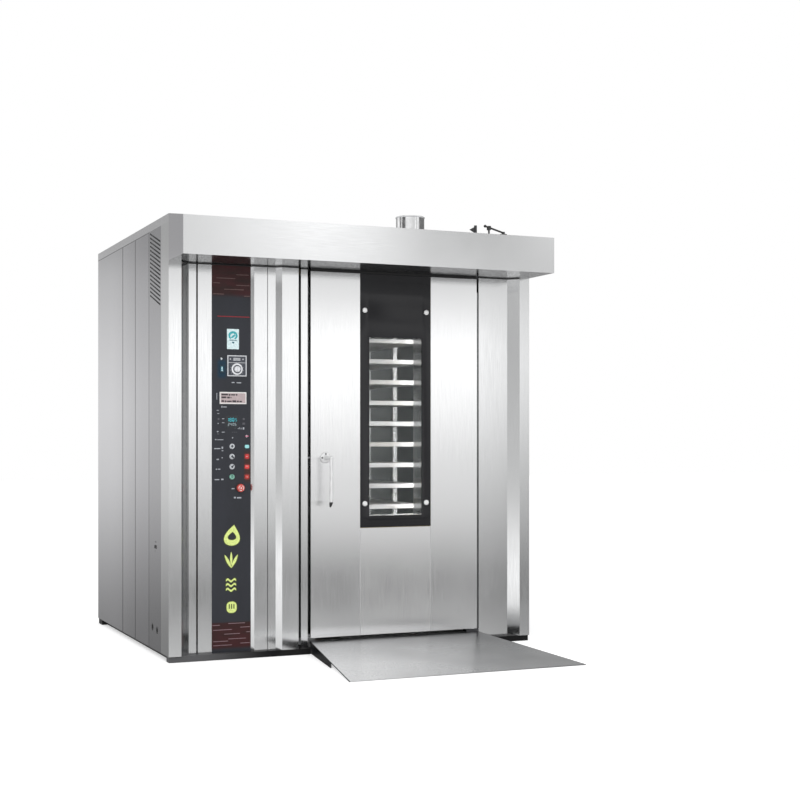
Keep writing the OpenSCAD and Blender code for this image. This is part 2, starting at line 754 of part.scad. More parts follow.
module burner() color("#7d2a22") cab() union() {
    bar_y([heat_cx, louvre_seam_y - 6, burner_z], bulkhead_t + 6, burner_tube_d / 2);
    slab([heat_cx - burner_flange_w / 2, heat_cx + burner_flange_w / 2], [louvre_seam_y - 12, louvre_seam_y],
         [burner_z - burner_flange_w / 2, burner_z + burner_flange_w / 2]);
    bar_y([heat_cx, burner_front_y + 20, burner_z], louvre_seam_y - burner_front_y - 31, scroll_r);
    slab([heat_cx - gas_block_w / 2, heat_cx + gas_block_w / 2], [burner_front_y + 40, louvre_seam_y - 40],
         [burner_z - gas_block_h, burner_z]);
    bar_x([heat_cx - blower_motor_len, (burner_front_y + louvre_seam_y) / 2, burner_z], blower_motor_len, blower_motor_r);
    bar_x([heat_cx, (burner_front_y + louvre_seam_y) / 2, burner_z + 50], gas_pipe_len, gas_pipe_r);
}

fan_z1 = chamber_z1 - 12;
fan_z0 = fan_z1 - fan_h;
inlet_d = 0.62 * fan_d;
motor_h = 140;
motor_d = 170;
shaft_in_motor = 46;

module fan_motor() color("#3c5a78") cab() {
    difference() {
        union() {
            slab([heat_cx - 120, heat_cx + 120], [fan_y - 120, fan_y + 120], [void_z0, void_z0 + 4]);
            bar_z([heat_cx, fan_y, void_z0 + 3], motor_h - 3, motor_d / 2 - 8);
            for (a = [0 : 15 : 345])
                translate([heat_cx, fan_y, void_z0 + 20]) rotate(a)
                    translate([motor_d / 2 - 12, -2, 0]) cube([12, 4, motor_h - 45]);
        }
        bar_z([heat_cx, fan_y, void_z0 - through], shaft_in_motor + 2 + through, fan_shaft_d / 2 + run_fit);
    }
    difference() {
        union() {
            slab([heat_x0, heat_x1], [fan_y - fan_d * 0.75, fan_y + fan_d * 0.75], [fan_z0 - 20, fan_z0 - 17]);
            bar_z([heat_cx, fan_y, fan_z0 - 20], 14, inlet_d / 2 + 3);
        }
        bar_z([heat_cx, fan_y, fan_z0 - 30], 40, inlet_d / 2);
    }
}

module fan_impeller() color(steel_dark) cab() difference() {
    union() {
        bar_z([heat_cx, fan_y, fan_z1 - 3], 3, fan_d / 2);
        bar_z([heat_cx, fan_y, fan_z1 - 60], 58, 34);
        bar_z([heat_cx, fan_y, fan_z1 - 70], void_z0 + shaft_in_motor - fan_z1 + 70, fan_shaft_d / 2);
        for (i = [0 : fan_blades - 1])
            translate([heat_cx, fan_y, fan_z0]) rotate(i * 360 / fan_blades)
                translate([fan_d / 2 - 22, -2, 0]) rotate(35) translate([-62, 0, 0]) cube([76, 4, fan_h - 1]);
        difference() {
            bar_z([heat_cx, fan_y, fan_z0], 3, fan_d / 2);
            bar_z([heat_cx, fan_y, fan_z0 - through], 3 + 2 * through, inlet_d / 2);
        }
    }
}

trough_n = 7;
trough_pitch = 150;
trough_w = 90;
steam_len = 300;
steam_gap = 140;
steam_y = [chamber_y1 - steam_gap - steam_len, chamber_y1 - steam_gap];

module steam_generator() color("#6c6f71") cab() {
    y = steam_y;
    x1 = heat_x1 - 2;
    x0 = x1 - trough_w;
    z0 = floor_z;
    union() {
        for (yy = y) slab([x0, x1], [yy, yy + 6], [z0, z0 + 120 + trough_n * trough_pitch]);
        for (i = [0 : trough_n - 1])
            across_y(y[0] + 1, y[1] + 5, z0 + 110 + i * trough_pitch)
                polygon([[x0 + 4, 40], [x0 + 10, 40], [x0 + 45, 6], [x1 - 10, 40], [x1 - 4, 40], [x0 + 45, 0]]);
        translate([x0 + 45, y[0] + 20, z0 + 112 + trough_n * trough_pitch])
            rotate([-90, 0, 0]) cylinder(r = 11, h = chamber_y1 - y[0] - 20);
        for (yy = [y[0] + 2, y[1]])
            slab([x0 + 34, x0 + 56], [yy, yy + 20], [z0 + trough_n * trough_pitch, z0 + 112 + trough_n * trough_pitch]);
    }
}

// Extrudes an (x, z) profile along y
module across_y(y0, y1, z0)
    translate([0, y1, z0]) rotate([90, 0, 0]) linear_extrude(y1 - y0) children();

oven_lamp_h = 300;
oven_lamp_w = 50;
oven_lamp_z = [620, 1320];
oven_lamp_gap = 12;
oven_lamp_rim = 8;

module chamber_lamps() color("#f3ead2") cab()
    for (x = [opening_x0 - oven_lamp_gap - oven_lamp_w, opening_x1 + oven_lamp_gap], z = oven_lamp_z)
        union() {
            slab([x, x + oven_lamp_w], [chamber_y0, chamber_y0 + 12], [z, z + oven_lamp_h]);
            slab([x + oven_lamp_rim, x + oven_lamp_w - oven_lamp_rim], [chamber_y0 + 11, chamber_y0 + 30],
                 [z + oven_lamp_rim, z + oven_lamp_h - oven_lamp_rim]);
        }

// ---------------------------------------------------------------- rack drive

gear_z = void_z0 + 44;
gear_w = 20;
pitch_r = gear_module * gear_teeth / 2;
pinion_r = gear_module * pinion_teeth / 2;
pinion_x = rotor_x - pitch_r - pinion_r;
addendum = 0.75;
dedendum = 1.1;

// A toothed disc with straight flanks; a tooth points along +X when the phase is 0
module spur(teeth, width, bore_d, phase) {
    r = gear_module * teeth / 2;
    step = 360 / teeth;
    ro = r + addendum * gear_module;
    ri = r - dedendum * gear_module;
    w_root = 0.29 * step;
    w_tip = 0.11 * step;
    points = [for (i = [0 : teeth - 1], c = [[-w_root, ri], [-w_tip, ro], [w_tip, ro], [w_root, ri]])
        let (a = i * step + c[0] + phase) c[1] * [cos(a), sin(a)]];
    difference() {
        linear_extrude(width) polygon(points);
        translate([0, 0, -through]) cylinder(r = bore_d / 2, h = width + 2 * through);
    }
}

top_bearing_d = 140;
top_bearing_h = 36;
low_bearing_h = 14;
table_z0 = floor_z - table_t;

module shaft_bearings() color("#7b8084") cab() {
    difference() {
        union() {
            bar_z([rotor_x, rotor_y, void_z0], top_bearing_h, top_bearing_d / 2 - 22);
            bar_z([rotor_x, rotor_y, void_z0], 14, top_bearing_d / 2);
        }
        bar_z([rotor_x, rotor_y, void_z0 - through], top_bearing_h + 2 * through, shaft_d / 2 + run_fit);
    }
    difference() {
        bar_z([rotor_x, rotor_y, table_z0 - soft_gap - low_bearing_h], low_bearing_h, bearing_pocket_d / 2);
        bar_z([rotor_x, rotor_y, 0], floor_z, 20 + run_fit);
    }
}

module rack_shaft() color("#9a9da0") cab() union() {
    bar_z([rotor_x, rotor_y, rack_top_z + 38], gear_z + gear_w + 8 - rack_top_z - 38, shaft_d / 2);
    bar_z([rotor_x, rotor_y, rack_top_z + 26], 13, 60);
}

module drive_gear() color(iron) cab()
    translate([rotor_x, rotor_y, gear_z]) spur(gear_teeth, gear_w, shaft_d, 180);

module drive_pinion() color(iron) cab() union() {
    translate([pinion_x, rotor_y, gear_z]) spur(pinion_teeth, gear_w, 24, 180 / pinion_teeth);
    bar_z([pinion_x, rotor_y, gear_z - 10], gear_w + 10 + 14, 12);
}

gearbox_z0 = gear_z + gear_w + 8;
gearbox_w = 120;
gearbox_back = 75;
gearbox_front = 40;
drive_motor_len = 190;
drive_motor_r = 38;
drive_stand_x = 110;
drive_foot = 40;
stand_t = 6;

module drive_gearmotor() color("#3c5a78") cab() difference() {
    stand_y = [rotor_y - gearbox_w / 2 - 10, rotor_y + gearbox_w / 2 + 10];
    union() {
        slab([pinion_x - gearbox_back, pinion_x + gearbox_front], [rotor_y - gearbox_w / 2, rotor_y + gearbox_w / 2],
             [gearbox_z0, roof_z0 - 10]);
        bar_x([pinion_x - gearbox_back + 5 - drive_motor_len, rotor_y, gearbox_z0 + drive_motor_r - 2], drive_motor_len, drive_motor_r);
        slab([pinion_x - drive_stand_x, pinion_x + gearbox_front], stand_y, [gearbox_z0, gearbox_z0 + stand_t]);
        slab([pinion_x - drive_stand_x, pinion_x - drive_stand_x + 10], stand_y, [void_z0, gearbox_z0 + stand_t]);
        slab([pinion_x - drive_stand_x - drive_foot, pinion_x - drive_stand_x + 10], stand_y, [void_z0, void_z0 + stand_t]);
    }
    bar_z([pinion_x, rotor_y, gearbox_z0 - through], stand_t + 1 + through, 12 + run_fit);
}

module turntable() color(steel_dark) cab() union() {
    bar_z([rotor_x, rotor_y, table_z0], table_t, table_d / 2);
    bar_z([rotor_x, rotor_y, table_z0 - low_bearing_h], low_bearing_h + 1, 20);
}

// ---------------------------------------------------------------- rack trolley

rack_top_z = chamber_z1 - rack_head_h;
wheel_z = floor_z + wheel_d / 2 + soft_gap;
base_plate_z = wheel_z + wheel_d / 2 + 9;
plate_t = 4;
axle_d = 12;
wheel_w = 30;
wheel_x = rack_w / 2 - 60;
wheel_y = rack_d / 2 - 70;
fork_gap = 4;
fork_t = 4;
runner_w = 18;
runner_h = 20;
tray_side_gap = 5;
tray_head = 36;
tray_n = floor((rack_top_z - tray_head - tray_h - tray_z0) / tray_pitch) + 1;
tray_w = rack_w - 2 * post_w - 2 * tray_side_gap;
tray_d = rack_d - 40;

module rack_side_frames() color(steel) cab()
    for (side = [-1, 1]) translate([rotor_x, rotor_y, 0]) mirror([side < 0 ? 1 : 0, 0, 0]) union() {
        inner = rack_w / 2 - post_w;
        for (y = [-rack_d / 2, -post_w / 2, rack_d / 2 - post_w])
            slab([inner, rack_w / 2], [y, y + post_w], [base_plate_z + plate_t, rack_top_z]);
        for (i = [0 : tray_n - 1]) {
            z = tray_z0 + i * tray_pitch;
            slab([inner - runner_w, inner + 1], [-tray_d / 2, tray_d / 2], [z - 3, z]);
            slab([inner - 3, inner + 1], [-tray_d / 2, tray_d / 2], [z - 3, z + runner_h - 3]);
        }
    }

// One wheel's fork under the base plate
module fork(x, y) translate([rotor_x + x, rotor_y + y, 0]) for (side = [-1, 1]) {
    inner = wheel_w / 2 + fork_gap;
    difference() {
        slab([side < 0 ? -inner - fork_t : inner, side < 0 ? -inner : inner + fork_t], [-22, 22],
             [wheel_z - 18, base_plate_z + 1]);
        bar_x([-100, 0, wheel_z], 200, axle_d / 2 + run_fit);
    }
}

module rack_plates() color(steel) cab() {
    union() {
        translate([rotor_x, rotor_y, 0])
            slab([-rack_w / 2, rack_w / 2], [-rack_d / 2, rack_d / 2], [base_plate_z, base_plate_z + plate_t]);
        for (x = [-wheel_x, wheel_x], y = [-wheel_y, wheel_y]) fork(x, y);
    }
    translate([rotor_x, rotor_y, 0]) union() {
        slab([-rack_w / 2, rack_w / 2], [-rack_d / 2, rack_d / 2], [rack_top_z, rack_top_z + plate_t]);
        slab([-40, 40], [-rack_d / 2 + 10, rack_d / 2 - 10], [rack_top_z + plate_t - 1, rack_top_z + 26]);
    }
}

module tray(z) translate([rotor_x, rotor_y, z]) difference() {
    slab([-tray_w / 2, tray_w / 2], [-tray_d / 2, tray_d / 2], [0, tray_h]);
    slab([1.5 - tray_w / 2, tray_w / 2 - 1.5], [1.5 - tray_d / 2, tray_d / 2 - 1.5], [-through, tray_h - 1.5]);
}

module rack_trays() color("#d9dadb") cab() for (i = [0 : tray_n - 1]) tray(tray_z0 + i * tray_pitch);

module wheel_pair(y) {
    axle_len = wheel_w + 2 * fork_gap + 2 * fork_t + 8;
    for (side = [-1, 1]) {
        bar_x([rotor_x + side * wheel_x - wheel_w / 2, rotor_y + y, wheel_z], wheel_w, wheel_d / 2);
        bar_x([rotor_x + side * wheel_x - axle_len / 2, rotor_y + y, wheel_z], axle_len, axle_d / 2);
    }
    bar_x([rotor_x - wheel_x, rotor_y + y, wheel_z], 2 * wheel_x, axle_d / 2);
}

module front_wheels() color("#5a2f27") cab() union() wheel_pair(-wheel_y);
module rear_wheels() color("#5a2f27") cab() union() wheel_pair(wheel_y);

// ---------------------------------------------------------------- chimney and roof fittings

duct_w = 150;
duct_z = [void_z0, void_z0 + 110];

module flue() color(steel) cab() difference() {
    union() {
        slab([heat_cx - duct_w / 2, chimney_x + duct_w / 2], [chimney_y - duct_w / 2, chimney_y + duct_w / 2], duct_z);
        bar_z([chimney_x, chimney_y, duct_z[1] - 1], body_h + chimney_h - duct_z[1] + 1, chimney_d / 2);
        bar_z([chimney_x, chimney_y, body_h], 6, chimney_d / 2 + 25);
    }
    slab([heat_cx - duct_w / 2 + sheet_t, chimney_x + duct_w / 2 - sheet_t],
         [chimney_y - duct_w / 2 + sheet_t, chimney_y + duct_w / 2 - sheet_t], [duct_z[0] + sheet_t, duct_z[1] - sheet_t]);
    bar_z([chimney_x, chimney_y, duct_z[1] - 10], body_h + chimney_h, chimney_d / 2 - sheet_t);
    bar_z([heat_cx, stack_y, duct_z[0] - through], 10 + 2 * through, stack_d / 2);
}

lever_x = body_w - lever_inset;
lever_z = body_h + lever_h;
lever_pin_d = 6;
lever_drop = 24;
lever_lift = 15;

module roof_fittings() color(black) cab() {
    // Fulcrum post of the relief lever
    union() {
        bar_z([lever_x, fitting_y, body_h], lever_h - 12, 5);
        bar_z([lever_x, fitting_y, body_h], 4, 14);
        for (side = [-1, 1]) difference() {
            slab([lever_x - 8, lever_x + 8], [fitting_y + (side < 0 ? -10 : 6), fitting_y + (side < 0 ? -6 : 10)],
                 [lever_z - 11, lever_z + 8]);
            bar_y([lever_x, fitting_y - 20, lever_z], 40, lever_pin_d / 2 + run_fit);
        }
        slab([lever_x - 8, lever_x + 8], [fitting_y - 10, fitting_y + 10], [lever_z - 14, lever_z - 10]);
    }
    // Seat of the relief valve
    difference() {
        bar_z([lever_x + lever_len, fitting_y, body_h], 12, 24);
        bar_z([lever_x + lever_len, fitting_y, body_h + 2], 12, 14);
    }
    // Cable eye on its own post
    union() {
        bar_z([lever_x - 82, fitting_y, body_h], lever_h + 6, 8);
        translate([0, fitting_y + 3, body_h])
            rotate([90, 0, 0]) linear_extrude(6)
                polygon([[lever_x - 118, 32], [lever_x - 84, 50], [lever_x - 84, 14]]);
    }
}

module relief_lever() color(black) cab() union() {
    slope = atan(lever_drop / lever_len);
    translate([lever_x, fitting_y, lever_z]) rotate([0, slope, 0]) {
        bar_x([-22, 0, 0], 22 + lever_len - 4, 5);
        translate([-24, 0, 0]) sphere(r = 8);
    }
    bar_y([lever_x, fitting_y - 12, lever_z], 24, lever_pin_d / 2);
    cap_z = body_h + 12 + soft_gap;
    bar_z([lever_x + lever_len, fitting_y, cap_z], 6, 20);
    bar_z([lever_x + lever_len, fitting_y, cap_z + 5], lever_z - lever_drop - cap_z, 9);
}

// ---------------------------------------------------------------- control cabinet

gear_plate_x = [left_post_x1 + 20, heat_x1 - left_wall_t - 20];
gear_plate_z = [760, 1720];
gear_plate_t = 4;
rail_n = 4;
rail_pitch = 220;
rail_h = 35;
rail_t = 8;
rail_inset = 10;
rail_z0 = gear_plate_z[0] + 100;

// A row of like devices on one rail: how many, how far they stand out, and how high they are
module device_row(rail, count, depth, height, fill) {
    x0 = gear_plate_x[0] + 2 * rail_inset;
    pitch = (gear_plate_x[1] - gear_plate_x[0] - 4 * rail_inset) / count;
    y1 = louvre_seam_y - gear_plate_t - rail_t;
    z = rail_z0 + rail * rail_pitch + rail_h / 2;
    for (i = [0 : count - 1])
        slab([x0 + i * pitch, x0 + (i + fill) * pitch], [y1 - depth, y1], [z - height / 2, z + height / 2]);
}

// Mounting plate with rails of contactors, breakers, a controller and terminals
module control_gear() color("#b8bcbf") cab() {
    y1 = louvre_seam_y;
    slab(gear_plate_x, [y1 - gear_plate_t, y1], gear_plate_z);
    for (i = [0 : rail_n - 1])
        slab([gear_plate_x[0] + rail_inset, gear_plate_x[1] - rail_inset], [y1 - gear_plate_t - rail_t, y1 - gear_plate_t],
             [rail_z0 + i * rail_pitch, rail_z0 + i * rail_pitch + rail_h]);
    device_row(0, 5, 78, 80, 0.85);
    device_row(1, 4, 63, 90, 0.9);
    device_row(2, 2, 98, 120, 0.9);
    device_row(3, 14, 43, 50, 0.9);
}

cap_t = 7;

module timer_knob() color("#e8e8e6") cab() union() {
    front = face_setback - 3 - soft_gap;
    bar_y([timer_x, front - 16, timer_z], 16, knob_d / 2);
    slab([timer_x - 4, timer_x + 4], [front - 24, front - 15], [timer_z - knob_d / 2 + 4, timer_z + knob_d / 2 - 4]);
    bar_y([timer_x, front - 1, timer_z], 24, stem_d / 2);
}

module rocker_switch() color("#7fd6dd") cab() union() {
    y = face_setback;
    slab([rocker_x - rocker_w / 2, rocker_x + rocker_w / 2], [y - 3, y + 5], [timer_z - rocker_h / 2 + 3, timer_z + rocker_h / 2 - 3]);
    bar_x([rocker_x - rocker_w / 2, y + 5, timer_z], rocker_w, 4);
}

module push_button(i) cab() union() {
    z = button_z - i * button_pitch;
    bar_y([button_x, face_setback - cap_t, z], cap_t + fascia_t, button_d / 2);
    bar_y([button_x, face_setback, z], 30, stem_d / 2);
}

module push_button_1() color("#d8dadb") push_button(0);
module push_button_2() color("#d8dadb") push_button(1);
module push_button_3() color("#d8dadb") push_button(2);
module push_button_4() color("#7ad08a") push_button(3);

module stop_button() color("#b3261e") cab() union() {
    bar_y([stop_x, face_setback - 22, stop_z], 12, stop_d / 2);
    bar_y([stop_x, face_setback - 11, stop_z], 40, stem_d / 2);
}

// ---------------------------------------------------------------- door

skin_y = [door_y0, door_y0 + sheet_t];
reveal_t = 2;

module door_skin() color(steel) cab() {
    difference() {
        union() {
            slab([door_x0, glass_x0 - seam_w / 2], skin_y, [door_z0, door_z1]);
            slab([glass_x0 - seam_w / 2 - sheet_t, glass_x0 - seam_w / 2], [door_y0, door_y0 + 12], [door_z0, door_z1]);
        }
        bar_y([handle_x, door_y0 - through, handle_z], 2 * through + sheet_t, 10);
    }
    union() {
        slab([glass_x1 + seam_w / 2, door_x1], skin_y, [door_z0, door_z1]);
        slab([glass_x1 + seam_w / 2, glass_x1 + seam_w / 2 + sheet_t], [door_y0, door_y0 + 12], [door_z0, door_z1]);
    }
    union() {
        slab([glass_x0 + seam_w / 2, glass_x1 - seam_w / 2], skin_y, [door_z0, glass_z0 - seam_w]);
        for (x = [glass_x0 + seam_w / 2, glass_x1 - seam_w / 2 - sheet_t])
            slab([x, x + sheet_t], [door_y0, door_y0 + 12], [door_z0, glass_z0 - seam_w]);
    }
}

// Space of the window tunnel through the door
module window_space(grow, y0, y1)
    slab([window_x0 - grow, window_x1 + grow], [y0, y1], [window_z0 - grow, window_z1 + grow]);

module spindle_space() {
    bar_y([handle_x, door_y0 - through, handle_z], latch_y + 12 - door_y0, 10);
    bar_x([door_x0 - through, latch_y, handle_z], latch_len + 20, latch_d / 2 + soft_gap);
}

module door_inner() color(steel) cab() difference() {
    union() {
        difference() {
            slab([door_x0, door_x1], [skin_y[1], door_y1], [door_z0, door_z1]);
            slab([door_x0 + sheet_t, door_x1 - sheet_t], [door_y0, door_y1 - sheet_t],
                 [door_z0 + sheet_t, door_z1 - sheet_t]);
        }
        window_space(reveal_t, door_y0 + glass_t, door_y1 - 1);
    }
    window_space(0, door_y0, door_y1 + through);
    for (x = [glass_x0 - seam_w / 2 - sheet_t, glass_x1 + seam_w / 2])
        slab([x, x + sheet_t], [door_y0, door_y0 + 12], [door_z0 - through, door_z1 + through]);
    slab([glass_x0 - seam_w / 2, glass_x1 + seam_w / 2], [door_y0, door_y0 + glass_t], [door_z1 - 5, door_z1 + through]);
    for (x = [glass_x0 + seam_w / 2, glass_x1 - seam_w / 2 - sheet_t])
        slab([x, x + sheet_t], [door_y0, door_y0 + 12], [door_z0 - through, door_z0 + 5]);
    spindle_space();
}

module door_insulation() color(wool) cab() difference() {
    slab([door_x0 + sheet_t, door_x1 - sheet_t], [skin_y[1], door_y1 - sheet_t], [door_z0 + sheet_t, door_z1 - sheet_t]);
    slab([glass_x0 - seam_w / 2, glass_x1 + seam_w / 2], [door_y0, door_y0 + glass_t], [glass_z0 - seam_w, door_z1]);
    window_space(reveal_t, door_y0, door_y1);
    for (x = [glass_x0 - seam_w / 2 - sheet_t, glass_x1 + seam_w / 2])
        slab([x, x + sheet_t], [door_y0, door_y0 + 12], [door_z0, door_z1]);
    for (x = [glass_x0 + seam_w / 2, glass_x1 - seam_w / 2 - sheet_t])
        slab([x, x + sheet_t], [door_y0, door_y0 + 12], [door_z0, glass_z0 - seam_w]);
    for (x = [-1, 1], z = [bolt_z0, bolt_z1])
        bar_y([door_cx + x * bolt_pitch_x / 2, door_y0, z], 40, bolt_stud_d / 2);
    spindle_space();
}

bolt_stud_d = 8;
bolt_head_t = 7;

module outer_glass() color("#141517") cab() difference() {
    slab([glass_x0, glass_x1], [door_y0, door_y0 + glass_t], [glass_z0, door_z1]);
    for (x = [-1, 1], z = [bolt_z0, bolt_z1])
        bar_y([door_cx + x * bolt_pitch_x / 2, door_y0 - through, z], glass_t + 2 * through, bolt_stud_d / 2 + soft_gap);
}

module inner_glass() color("#9fb4b8") cab() slab([window_x0, window_x1], [door_y1 - 12, door_y1 - 7], [window_z0, window_z1]);

module glass_bolts() color("#e6e7e8") cab()
    for (x = [-1, 1], z = [bolt_z0, bolt_z1]) union() {
        bar_y([door_cx + x * bolt_pitch_x / 2, door_y0 - bolt_head_t, z], bolt_head_t, bolt_d / 2);
        bar_y([door_cx + x * bolt_pitch_x / 2, door_y0 - 1, z], 40, bolt_stud_d / 2);
    }

module door_gasket() color("#2b2a28") cab() difference() {
    x = [opening_x0 - gasket_w - 8, opening_x1 + gasket_w + 8];
    z = [door_z0 + 2, opening_z1 + gasket_w + 8];
    slab(x, [door_y1, door_y1 + gasket_t], z);
    slab([x[0] + gasket_w, x[1] - gasket_w], [door_y1 - through, door_y1 + gasket_t + through],
         [z[0] + gasket_w, z[1] - gasket_w]);
}

bracket_y = [hinge_y - 18, hinge_y + 26];
bracket_x = [hinge_x - 40, right_x0 - sheet_t];
keeper_h = 80;

module hinge_pins() color("#b5b8ba") cab() {
    union() {
        bar_z([hinge_x, hinge_y, floor_z + 1], door_z0 - floor_z - 1, hinge_pin_d / 2);
        bar_z([hinge_x, hinge_y, door_z0 - hinge_flange_t], hinge_flange_t, 17);
    }
    union() {
        bar_z([hinge_x, hinge_y, door_z1], door_top_gap - 1, hinge_pin_d / 2);
        bar_z([hinge_x, hinge_y, door_z1], hinge_flange_t, 17);
    }
}

module door_hardware() color("#9a9da0") cab() {
    difference() {
        slab(bracket_x, bracket_y, [floor_z, door_z0 - hinge_flange_t - soft_gap]);
        bar_z([hinge_x, hinge_y, floor_z - through], door_z0, hinge_pin_d / 2 + run_fit);
    }
    difference() {
        slab(bracket_x, bracket_y, [door_z1 + hinge_flange_t + soft_gap, hood_z0]);
        bar_z([hinge_x, hinge_y, door_z1], door_top_gap + through, hinge_pin_d / 2 + run_fit);
    }
    slab([frame_x1, frame_x1 + keeper_t], [latch_y - 14, latch_y + 14], [handle_z - keeper_h / 2, handle_z + keeper_h / 2]);
}

module door_handle() color("#e1e2e3") cab() union() {
    grip_y = door_y0 - grip_reach;
    neck_len = grip_reach - soft_gap;
    bar_y([handle_x, door_y0 - 10 - soft_gap, handle_z], 10, 28);
    bar_y([handle_x, grip_y, handle_z], neck_len, 9);
    bar_y([handle_x, door_y0 - 1, handle_z], latch_y - door_y0 - latch_d / 2 - 1, 8);
    translate([handle_x, grip_y, handle_z]) sphere(r = grip_d / 2 + 1);
    bar_z([handle_x, grip_y, handle_z - grip_len], grip_len, grip_d / 2);
    translate([handle_x, grip_y, handle_z - grip_len]) sphere(r = grip_d / 2);
}

module latch_bolt() color("#b5b8ba") cab()
    bar_x([door_x0 - latch_out, latch_y, handle_z], latch_len + latch_out, latch_d / 2);

base_frame();
front_plinth();
floor_pan();
side_panels();
louvre_panel();
left_corner_post();
control_column();
control_fascia();
mid_column();
door_frame();
right_column();
rear_panels();
roof_panel();
hood();
hood_underside();
ramp();
insulation();
chamber_liner();
air_wall();
heat_exchanger();
burner();
fan_motor();
steam_generator();
chamber_lamps();
drive_gearmotor();
shaft_bearings();
flue();
roof_fittings();
control_gear();
panel_indicators();
cable_inlets();
door_hardware();
door_skin();
door_inner();
door_insulation();
outer_glass();
inner_glass();
glass_bolts();
door_gasket();
hinge_pins();
door_handle();
latch_bolt();
rack_shaft();
drive_gear();
rack_side_frames();
rack_plates();
rack_trays();
turntable();
drive_pinion();
front_wheels();
rear_wheels();
fan_impeller();
relief_lever();
timer_knob();
rocker_switch();
stop_button();
push_button_1();
push_button_2();
push_button_3();
push_button_4();
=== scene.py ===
import math

import bmesh
import bpy
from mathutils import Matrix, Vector


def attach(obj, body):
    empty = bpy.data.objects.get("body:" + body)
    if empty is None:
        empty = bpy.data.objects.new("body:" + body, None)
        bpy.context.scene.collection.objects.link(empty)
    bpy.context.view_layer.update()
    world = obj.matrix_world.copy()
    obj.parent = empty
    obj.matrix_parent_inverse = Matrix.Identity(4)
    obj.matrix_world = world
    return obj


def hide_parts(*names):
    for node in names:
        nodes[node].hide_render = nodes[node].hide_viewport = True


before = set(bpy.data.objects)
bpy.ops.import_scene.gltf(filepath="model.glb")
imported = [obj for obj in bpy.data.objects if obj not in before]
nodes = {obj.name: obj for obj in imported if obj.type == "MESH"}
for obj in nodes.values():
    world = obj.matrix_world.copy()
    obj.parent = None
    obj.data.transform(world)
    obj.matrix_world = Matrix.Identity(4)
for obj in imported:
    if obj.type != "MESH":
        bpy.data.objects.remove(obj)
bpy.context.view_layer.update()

# ---------------------------------------------------------------- room and camera
# A pale studio: white floor, white backdrop, and soft light from the front.
# What metal mirrors is brightest just above eye height in front, and duller low down and at the sides.

CAMERA_PLACE = (-2.7405, -7.2364, 1.0978)
CAMERA_YAW = -0.4110
CAMERA_LENS = 64.03
CAMERA_SHIFT = 0.0485


def lone():
    """Leaves edit mode with nothing selected."""
    if bpy.context.object and bpy.context.object.mode != "OBJECT":
        bpy.ops.object.mode_set(mode="OBJECT")
    bpy.ops.object.select_all(action="DESELECT")


class Wire:
    """One output of a shader node, so that shader maths reads as plain arithmetic."""

    def __init__(self, tree, socket):
        self.tree, self.socket = tree, socket

    def _maths(self, operation, first, second):
        node = self.tree.nodes.new("ShaderNodeMath")
        node.operation = operation
        for place, value in zip(node.inputs, (first, second)):
            if isinstance(value, Wire):
                self.tree.links.new(value.socket, place)
            else:
                place.default_value = value
        return Wire(self.tree, node.outputs[0])

    def __add__(self, other): return self._maths("ADD", self, other)
    def __radd__(self, other): return self._maths("ADD", other, self)
    def __sub__(self, other): return self._maths("SUBTRACT", self, other)
    def __rsub__(self, other): return self._maths("SUBTRACT", other, self)
    def __mul__(self, other): return self._maths("MULTIPLY", self, other)
    def __rmul__(self, other): return self._maths("MULTIPLY", other, self)
    def __truediv__(self, other): return self._maths("DIVIDE", self, other)


class Shading:
    """The node tree of a material or of the world."""

    def __init__(self, owner):
        owner.use_nodes = True
        self.owner, self.tree = owner, owner.node_tree

    def node(self, kind, inputs=None, out=0, ramp=None, **settings):
        """Adds a node: its settings and ramp stops first, then the values or wires of its inputs."""
        made = self.tree.nodes.new(kind)
        for name, value in settings.items():
            setattr(made, name, value)
        if ramp:
            stops = made.color_ramp.elements
            stops[0].position, stops[1].position = ramp[0][0], ramp[-1][0]
            for place, tone in ramp[1:-1]:
                stops.new(place)
            for stop, (place, tone) in zip(stops, ramp):
                stop.color = (tone, tone, tone, 1) if isinstance(tone, float) else (*tone, 1)
        for name, value in (inputs or {}).items():
            if isinstance(value, Wire):
                self.tree.links.new(value.socket, made.inputs[name])
            else:
                made.inputs[name].default_value = value
        return Wire(self.tree, made.outputs[out])

    def maths(self, operation, *values):
        """A Math node on numbers and wires."""
        return self.node("ShaderNodeMath", dict(enumerate(values)), operation=operation)

    def axes(self, vector):
        """The x, y and z of a vector."""
        split = self.tree.nodes.new("ShaderNodeSeparateXYZ")
        self.tree.links.new(vector.socket, split.inputs[0])
        return [Wire(self.tree, output) for output in split.outputs]

    def slope(self, value, low, high, new_low=0.0, new_high=1.0, soft=True):
        """Takes a value from one level to another between two limits, and holds it outside them."""
        kind = "SMOOTHSTEP" if soft else "LINEAR"
        return self.node("ShaderNodeMapRange", {0: value, 1: low, 2: high, 3: new_low, 4: new_high},
            interpolation_type=kind)

    def between(self, factor, first, second):
        """Mixes two numbers."""
        return self.node("ShaderNodeMix", {0: factor, 2: first, 3: second}, data_type="FLOAT")

    def levels(self, value, stops):
        """A level that follows a list of (value, level) stops."""
        low, high = stops[0][0], stops[-1][0]
        ramp = [((at - low) / (high - low), level / 1.6) for at, level in stops]
        return self.node("ShaderNodeValToRGB", {0: (value - low) / (high - low)}, ramp=ramp) * 1.6


